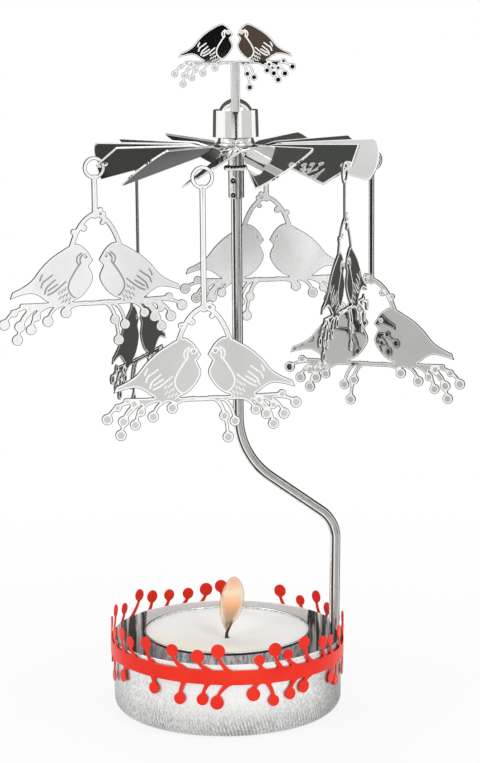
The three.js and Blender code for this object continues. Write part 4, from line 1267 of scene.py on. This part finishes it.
def draw_birds(sheet, size, mark):
    """Two birds on a berried branch, with the branch's top at height zero."""
    def beside(line, side):
        return [(side * x * size, y * size) for x, y in line]

    def outline(shares):
        return curve_through([(BIRD_GAP / 2 + x * BIRD_LENGTH, y * BIRD_HEIGHT) for x, y in shares], 6)

    for side in (-1, 1):
        sheet.polygon(beside(outline(BIRD_BACK) + outline(BIRD_BELLY), side))
        for line in [BREAST_LINE, *CHEEK_LINES, *WING_LINES]:
            sheet.stroke(curve_through(beside(line, side), 5), mark, mark * 0.85, into="lines")
        for line in BELLY_DASHES:
            sheet.stroke(beside(line, side), mark * 0.7, mark * 0.5, into="lines")
        sheet.ring(*beside([EYE], side)[0], EYE_RADIUS, 0.52 * size + 0.05)
    half, drop = BRANCH_HALF * size, BRANCH_DROP * size
    sheet.stroke(bow((-half, -drop), (0, -size), (half, -drop), 16), size, blend=0.3 * size)
    for x, y, _, root in LEFT_BERRIES + RIGHT_BERRIES:
        bent = (root + 0.82 * (x - root), -0.45 + 0.12 * y)
        stalk = bow(*np.array([(root, -0.55), bent, (x, y)]) * size, 10)
        sheet.stroke(stalk, TWIG_ROOT * size, TWIG_TIP * size, 0.15 * size)
    for x, y, radius, _ in LEFT_BERRIES + RIGHT_BERRIES:
        sheet.disc(x * size, y * size, radius * size, 0.25 * size)
        # A pale ring round each berry's edge: a painted highlight
        sheet.ring(x * size, y * size, radius * 0.62 * size, (radius + 0.3) * size)
    for side in (-1, 1):
        sheet.hole(*beside([EYE], side)[0], EYE_RADIUS)


def sheet_steels(kind, s, edge_tone):
    """The materials of a charm or of the topper, one for each finish of its sheet."""
    frost = frosted_steel(tuple(s.frost))
    front, back = (mirror_steel(f"{kind}_{side}", tuple(s.steel)) for side in ("front", "back"))
    # The dark edge material is a painted shade on the chamfer, and the frost a painted highlight on the pale
    # border besides the etch of the lines
    return [front, back, frost, bright_steel(kind + "_edge", edge_tone, 0.2, 0.3, 900), frost]


FORK_HEIGHT, FORK_SPREAD, FORK_FOOT, FORK_WIDTH = 18.3, 5.4, 11.9, 1.05
RING_INNER, RING_OUTER = 1.7, 2.45
STEMS = {"short": 8.0, "long": 25.2}
# Buds on the fork: place across and up from the branch's top, and radius
BUDS = [(1.25, 19.55, 0.6), (1.9, 18.65, 0.62), (1.65, 16.8, 0.55), (-2.6, 15.75, 0.75), (-4.85, 15.0, 0.7)]
BUD_HOLE = (1.2, 18.75)


def charm_sheet(stem, s):
    """A whole charm: birds, fork, stem and open ring. Zero is the point inside the top of the ring."""
    sheet = Sheet(-23, 23, -12, FORK_HEIGHT + stem + 2 * RING_OUTER + 1)
    lift = FORK_WIDTH / 2
    for side in (-1, 1):
        bend, foot = (side * FORK_SPREAD * 2 / 3, FORK_HEIGHT - lift), (side * FORK_SPREAD, FORK_FOOT)
        sheet.stroke(bow((0, FORK_HEIGHT + lift), bend, foot, 20), 1.0, 1.1, 0.2)
    for x, y, radius in BUDS:
        sheet.disc(x, y, radius, 0.2)
        # A pale ring round each bud's edge: a painted highlight
        sheet.ring(x, y, radius * 0.5, radius + 0.3)
    centre, middle = FORK_HEIGHT + stem + RING_OUTER, (RING_INNER + RING_OUTER) / 2
    sheet.stroke([(0, FORK_HEIGHT), (0, centre - middle)], 1.2, blend=0.3)
    sheet.stroke(arc((0, centre), middle, -52, 290, 60), RING_OUTER - RING_INNER + 0.06, blend=0.2)
    draw_birds(sheet, 1.0, s.mark / MM)
    sheet.hole(*BUD_HOLE, 0.2)
    flat, faces, finishes = sheet.cut(s.sheet / MM, s.rim / MM, s.edge_shade / MM, 0.05)
    flat[:, 1] -= centre + RING_INNER
    return flat, faces, finishes


class CAROUSEL_OT_charms(Operator):
    """Build the six hanging charms, each on its own hinge"""

    bl_idname = "carousel.charms"
    bl_label = "Charms"

    def execute(self, context):
        s = context.scene.carousel_charm
        steels = sheet_steels("charm", s, (0.16, 0.16, 0.15))
        # Lit and shaded copies for single charms, all of the same steel: a paler front for short_left and a
        # paler back for short_rear stand in for the bright light they reflect, and darker frost on short_left's
        # lines is painted shade
        shaded_frost = frosted_steel(shade(tuple(s.frost), 0.32))
        satin = mirror_steel("charm_satin", tuple(s.satin), 0.3, 0.34, Metallic=0.12)
        back_lit_copy = mirror_steel("charm_dimmed", tuple(s.satin), 0.18, 0.22, Metallic=0.5)
        lit_and_shaded_copies = {"short_left": [satin, *steels[1:4], shaded_frost], "short_rear": [steels[0], back_lit_copy, *steels[2:]]}
        drawn = {kind: charm_sheet(stem, s) for kind, stem in STEMS.items()}
        for body, joint in JOINTS.items():
            if not joint["name"].startswith("swing_"):
                continue
            flat, faces, finishes = drawn[body.split("_")[0]]
            out_x, out_y = joint["axis"][:2]
            hang = np.array(joint["pos_m"]) / MM
            points = np.column_stack([
                hang[0] - out_y * flat[:, 0] + out_x * flat[:, 2],
                hang[1] + out_x * flat[:, 0] + out_y * flat[:, 2],
                hang[2] + flat[:, 1],
            ])
            made = new_object("sheet_" + body, points, faces, lit_and_shaded_copies.get(body, steels), finishes)
            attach(made, body)
            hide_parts("charm_" + body)
        return {"FINISHED"}


class CAROUSEL_OT_topper(Operator):
    """Build the small standing pair of birds on its post"""

    bl_idname = "carousel.topper"
    bl_label = "Topper"

    def execute(self, context):
        s, spindle = context.scene.carousel_charm, context.scene.carousel_pole.spindle / MM
        size, top, foot, mouth, forward = 0.635, 146.8, 131.2, 135.7, 4.225
        sheet = Sheet(-15, 15, foot - top - 1, 9)
        draw_birds(sheet, size, s.mark / MM * 0.85)
        sheet.polygon([(-1, foot - top), (1, foot - top), (1, -0.4), (-1, -0.4)])
        flat, faces, finishes = sheet.cut(0.35, rim=0.27, edge_shade=0.09, slope=0.04)
        # Faces of the post below the sleeve's mouth take the dark edge material: painted shade inside the
        # sleeve
        for index, face in enumerate(faces):
            if max(flat[corner][1] for corner in face) < mouth - top:
                finishes[index] = EDGE
        points = np.column_stack([spindle + flat[:, 0], -forward - flat[:, 2], top + flat[:, 1]])
        steels = sheet_steels("topper", s, (0.1, 0.1, 0.09))
        made = new_object("topper_sheet", points, faces, steels, finishes)
        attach(made, "rotor")
        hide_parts("topper")
        return {"FINISHED"}


# Tealight

FLAME_SHAPE = [  # height, middle and half width
    (17.0, -0.2, 0), (17.3, -0.18, 0.26), (17.9, -0.08, 0.68), (18.8, 0.17, 1.26), (19.7, 0.42, 1.76),
    (20.6, 0.64, 2.16), (21.8, 0.87, 2.48), (23.3, 1.07, 2.68), (24.8, 1.24, 2.74), (26.3, 1.42, 2.56),
    (27.5, 1.54, 2.2), (28.7, 1.66, 1.52), (29.5, 1.72, 0.82), (29.9, 1.74, 0),
]
FLAME_SIDES = 48


def flame_rings(low, high, width):
    """Rings of a flame: rounded above, pointed below, and bent to one side as it rises."""
    base, tip = FLAME_SHAPE[0][0], FLAME_SHAPE[-1][0]
    rings = []
    for height, middle, half in curve_through(FLAME_SHAPE, 4):
        rise = low + (high - low) * (height - base) / (tip - base)
        rings.append(circle(width * max(half, 0.0), rise, FLAME_SIDES, (middle, 0.0)))
    return rings


class CAROUSEL_OT_tealight(Operator):
    """Build the foil cup, the wax, the wick with its metal foot, and the flame"""

    bl_idname = "carousel.tealight"
    bl_label = "Tealight"

    def execute(self, context):
        s = context.scene.carousel_tealight
        foil = foil_metal()
        radius, floor, bottom = s.radius / MM, 0.3, 1.1
        low, top, bend, lip = radius - 0.5, bottom + s.height / MM, 1.2, 0.2
        profile = [(0, bottom + 0.1), (low - 3.2, bottom + 0.1), (low - 2.6, bottom), (low - bend, bottom)]
        profile += arc((low - bend, bottom + bend), bend, -90, 0, 10)[1:]
        profile += [(radius - 0.42, top - 0.9), (radius - lip, top - 0.5)]
        profile += arc((radius - lip, top - lip), lip, -60, 180, 12)
        profile += [(radius - 0.55, top - 0.9), (low - floor, bottom + 1.4)]
        profile += arc((low - bend, bottom + 1.3), bend - floor, 0, -90, 8) + [(0, bottom + 0.4)]
        materials = [
            foil,
            foil_fold((0.05, 0.05, 0.06)),
            bright_steel("foil_lip", (0.97, 0.97, 0.97), 0.2, 0.3, 900, 0.95),
        ]
        finishes = []
        for (reach, start), (_, end) in zip(profile, profile[1:] + profile[:1]):
            under, over = sorted((start - top, end - top))
            # Rows just under the lip take the dark fold material: painted shade in the crease
            fold = -1.2 < under and over < -0.3 and reach > radius - 0.6
            finishes.append(2 if under > -0.35 else int(fold))
        self.keep(turned("foil_shell", profile, 160, materials, finishes), "foil", "tealight_cup")
        self.wax(s, low - floor - 0.3)
        self.wick()
        foot = frame["nodes"]["wick_sustainer"]
        foot.data.materials.clear()
        foot.data.materials.append(foil)
        self.flame(tuple(s.flame))
        return {"FINISHED"}

    def keep(self, made, slot, node=None):
        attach(made, "tealight")
        if node:
            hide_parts(node)

    def wax(self, s, outer):
        bottom, top, rim, bend = 1.8, 17.3, s.radius / MM - 0.42, 1.2
        bore, foot_bore, foot, foot_top, floor = 0.9, 1.8, 2.45, 4.5, 6.3
        pool, pool_edge = 1.7, 15.5
        profile = [(floor, bottom), (outer - bend, bottom)]
        profile += arc((outer - bend, bottom + bend), bend, -90, 0, 8)[1:]
        profile += [(rim - 0.04, top - 0.3), (rim, top - 0.02), (rim - 0.15, top), (rim - 0.6, top - 0.12)]
        for reach in np.arange(pool_edge, 1.2, -0.6):
            profile.append((reach, top - 0.2 - pool * 0.5 * (1 + math.cos(math.pi * reach / pool_edge))))
        profile += [(1.1, top - 1.88), (0.62, top - 1.84), (0.56, top - 2.1), (bore, top - 2.8)]
        profile += [(bore, foot_top), (foot_bore, foot_top), (foot_bore, foot), (floor, foot)]
        made = turned("wax_body", profile, 128, [candle_wax(tuple(s.wax))], loop=True, smooth=40)
        self.keep(made, "wax", "tealight_wax")

    def wick(self):
        """A braid of three strands, bent over and thinner towards the tip."""
        low, high = (corner.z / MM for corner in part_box("wick"))
        thick, lean, back = 0.5, 1.05, 0.08
        turns = np.linspace(0, 2 * math.pi, 30, endpoint=False)
        middles, rings = [], []
        for t in np.linspace(0, 1, 40):
            rise = min(max((t - 0.76) / 0.2, 0), 1)
            x, z = lean * rise * rise * (3 - 2 * rise) - back, low + (high - low) * t
            size = thick * (1 - 0.3 * min(max(t - 0.66, 0) / 0.1, 1))
            strands, fibres = np.cos(3 * turns + 9 * t * math.pi), np.cos(11 * turns + 40 * t)
            radius = size * (1 + 0.16 * strands + 0.05 * fibres)
            middles.append((x, 0.0, z))
            rings.append([(x + r * math.cos(a), r * math.sin(a), z) for r, a in zip(radius, turns)])
        points, faces, _ = skin([middles[:1], *rings, middles[-1:]])
        made = face_out(new_object("wick_braid", points, faces, [charred_wick()], smooth=60))
        self.keep(made, "wick", "wick")

    def flame(self, bright):
        smoke = (0.33, 0.235, 0.12)
        outer = [(19, smoke), (21, (0.45, 0.27, 0.11)), (29, (0.36, 0.18, 0.07))]
        pale = [(19, smoke), (20.3, (1.0, 0.86, 0.74)), (26.5, (1.0, 0.86, 0.7)), (29, (1.0, 0.58, 0.36))]
        inner = [
            (19, smoke), (21.3, (0.28, 0.08, 0.01)), (22.5, (0.56, 0.16, 0.01)), (23.5, (0.96, 0.28, 0.01)),
            (24.6, (0.98, 0.48, 0.21)), (26.3, bright), (28.2, (0.97, 0.56, 0.36)), (29.4, (0.95, 0.4, 0.21)),
        ]
        shells = [
            ("skin", 1.0, 17.0, 29.9, outer, (0.28, 0.4), 1.0),
            ("flank", 0.94, 17.1, 29.75, pale, (0.08, 0.2), 2.0),
            ("heart", 0.76, 17.3, 29.3, inner, (0.08, 0.35), 1.2),
            ("middle", 0.58, 17.5, 28.8, inner, (0.08, 0.55), 1.2),
            ("core", 0.4, 17.7, 27.8, inner, (0.1, 0.9), 1.2),
        ]
        for name, width, low, high, tones, cover, strength in shells:
            points, faces, _ = skin(flame_rings(low, high, width))
            material = flame_glow("flame_" + name, tones, cover, strength)
            made = face_out(new_object("flame_" + name, points, faces, [material], smooth=60))
            self.keep(made, "wick")


# Stage

def floor_material():
    """Pale floor that keeps the shadow close by and turns into the white background further out."""
    finish = Finish("floor", Roughness=0.7)
    finish.tint(finish.noise(9, 2), shade(WHITE, 0.84), shade(WHITE, 0.86))
    matt, white = finish.shader.outputs[0], finish.glow(WHITE)
    reach = finish.add("ShaderNodeVectorMath", finish.place, settings={"operation": "LENGTH"}).outputs["Value"]
    shown = finish.mix(finish.spread(reach, 0.05, 0.2, 0.5, 1.0), finish.mix(0.7, matt, white), white)
    return finish.end(finish.mix(finish.seen(), matt, shown))


WHITE, WARM, BLACK = (1.0, 1.0, 1.0), (0.13, 0.095, 0.075), (0.01, 0.01, 0.01)
# Studio cards: tone, strength, distance, first and last turn from straight ahead (right is positive), lowest
# and highest edge. The distance is positive behind the carousel, towards +Y, and negative in front of it.
CARDS = {
    "card_lens": (BLACK, 1.0, -540, (-30, 0.7), (128, 330)),
    "card_lens_right": (WARM, 1.0, -540, (0.7, 14), (128, 330)),
    "card_lens_low": (BLACK, 1.0, -541, (0.9, 8), (106, 128)),
    "card_box_right": (WHITE, 1.45, -250, (29, 54), (34, 98)),
    "card_box_middle": (WHITE, 1.3, -250, (14, 22), (58, 98)),
    "card_box_edge": (WHITE, 0.88, -250, (22, 29), (58, 98)),
    "card_grey_high": ((0.66, 0.66, 0.64), 1.0, -250, (30, 88), (98, 330)),
    "card_grey_left": ((0.74, 0.74, 0.72), 1.0, -250, (-54, -18), (-4, 62)),
    "card_dark_left": ((0.03, 0.03, 0.03), 1.0, -250, (-46, -28), (62, 104)),
    "card_shade_left": ((0.66, 0.66, 0.64), 1.0, -250, (-54, -21), (104, 330)),
    "card_grey_right": ((0.55, 0.55, 0.53), 1.0, -300, (56, 84), (-4, 98)),
    "card_back": ((0.095, 0.1, 0.09), 1.0, 300, (-62, 62), (-4, 690)),
    "card_back_middle": (BLACK, 1.0, 296, (-9, 9), (-4, 690)),
}
# Lights: place in metres and power
LIGHTS = {
    "key": ((0.55, -0.55, 0.75), 2.6),
    "fill": ((-0.7, -0.35, 0.5), 1.3),
    "back": ((-0.2, 0.7, 0.7), 1.4),
}
LIGHT_SIZE, LIGHT_AIM = 0.5, (0, 0, 0.07)
WORLD_LIGHT = 0.74  # what matt surfaces get from the background, which itself looks white
CAMERA_ROLL = math.radians(-0.6)  # about its own line of sight
CAMERA_SHIFT = 0.0203


class CAROUSEL_OT_stage(Operator):
    """Set up the pale floor, the soft lights, the studio cards and the camera"""

    bl_idname = "carousel.stage"
    bl_label = "Stage"

    def execute(self, context):
        scene = context.scene
        scene.view_settings.view_transform = "Standard"
        self.floor()
        self.cards()
        self.lights(scene)
        self.world(scene)
        self.camera(scene)
        return {"FINISHED"}

    def floor(self):
        half, height = 6000.0, -0.05
        corners = [(x, y, height) for x, y in ((-half, -half), (half, -half), (half, half), (-half, half))]
        new_object("stage_floor", corners, [(0, 1, 2, 3)], [floor_material()])

    def cards(self):
        """Bright, grey and dark cards that only gloss sees, as in a studio."""
        for name, (tone, strength, distance, turns, heights) in CARDS.items():
            side, reach = math.copysign(1, distance), abs(distance)
            steps = np.radians(np.linspace(*turns, 9))
            line = [(reach * math.sin(t), side * reach * math.cos(t)) for t in steps]
            corners = [(x, y, z) for x, y in line for z in heights]
            faces = [(2 * i, 2 * i + 2, 2 * i + 3, 2 * i + 1) for i in range(len(line) - 1)]
            finish = glowing(name)
            card = new_object(name, corners, faces, [finish.end(finish.glow(tone, strength))])
            card.visible_camera = False
            card.visible_diffuse = False
            card.visible_shadow = False

    def lights(self, scene):
        for name, (place, power) in LIGHTS.items():
            lamp = bpy.data.lights.new(name, "AREA")
            lamp.shape = "SQUARE"
            lamp.size = LIGHT_SIZE
            lamp.energy = power
            made = bpy.data.objects.new(name, lamp)
            made.location = place
            made.rotation_euler = (Vector(LIGHT_AIM) - Vector(place)).to_track_quat("-Z", "Y").to_euler()
            scene.collection.objects.link(made)

    def world(self, scene):
        scene.world = bpy.data.worlds.new("studio")
        scene.world.use_nodes = True
        graph = Graph(scene.world.node_tree)
        nodes = graph.tree.nodes
        soft, white = nodes["Background"], graph.add("ShaderNodeBackground", WHITE, 1.0)
        graph.set(soft, "Color", WHITE)
        graph.set(soft, "Strength", WORLD_LIGHT)
        graph.set(nodes["World Output"], "Surface", graph.mix(graph.seen(), soft.outputs[0], white.outputs[0]))

    def camera(self, scene):
        s = scene.carousel_stage
        data = bpy.data.cameras.new("camera")
        data.lens = s.lens
        data.sensor_width = 36
        data.shift_x = CAMERA_SHIFT
        data.clip_start = 0.01
        data.clip_end = 50
        made = bpy.data.objects.new("camera", data)
        view = Matrix.Rotation(math.pi / 2 - s.down, 4, "X") @ Matrix.Rotation(CAMERA_ROLL, 4, "Z")
        made.matrix_world = Matrix.Translation((0, -s.distance, s.height)) @ view
        scene.collection.objects.link(made)
        scene.camera = made


class CAROUSEL_PT_panel(Panel):
    """Lists the steps that build the carousel"""

    bl_label = "Candle Carousel"
    bl_idname = "CAROUSEL_PT_panel"
    bl_space_type = "VIEW_3D"
    bl_region_type = "UI"
    bl_category = "Carousel"

    def draw(self, context):
        for step in STEPS:
            self.layout.operator(step.bl_idname)
        for name, group in SETTINGS.items():
            box = self.layout.box()
            for key in group.__annotations__:
                box.prop(getattr(context.scene, name), key)


STEPS = (
    CAROUSEL_OT_cup,
    CAROUSEL_OT_band,
    CAROUSEL_OT_pole,
    CAROUSEL_OT_rotor,
    CAROUSEL_OT_cap,
    CAROUSEL_OT_topper,
    CAROUSEL_OT_charms,
    CAROUSEL_OT_tealight,
    CAROUSEL_OT_stage,
)


def register():
    for name, group in SETTINGS.items():
        bpy.utils.register_class(group)
        setattr(bpy.types.Scene, name, PointerProperty(type=group))
    for step in STEPS:
        bpy.utils.register_class(step)
    bpy.utils.register_class(CAROUSEL_PT_panel)


def unregister():
    bpy.utils.unregister_class(CAROUSEL_PT_panel)
    for step in reversed(STEPS):
        bpy.utils.unregister_class(step)
    for name, group in SETTINGS.items():
        delattr(bpy.types.Scene, name)
        bpy.utils.unregister_class(group)


def main():
    register()
    for step in STEPS:
        area, name = step.bl_idname.split(".")
        getattr(getattr(bpy.ops, area), name)()


if __name__ == "__main__":
    main()
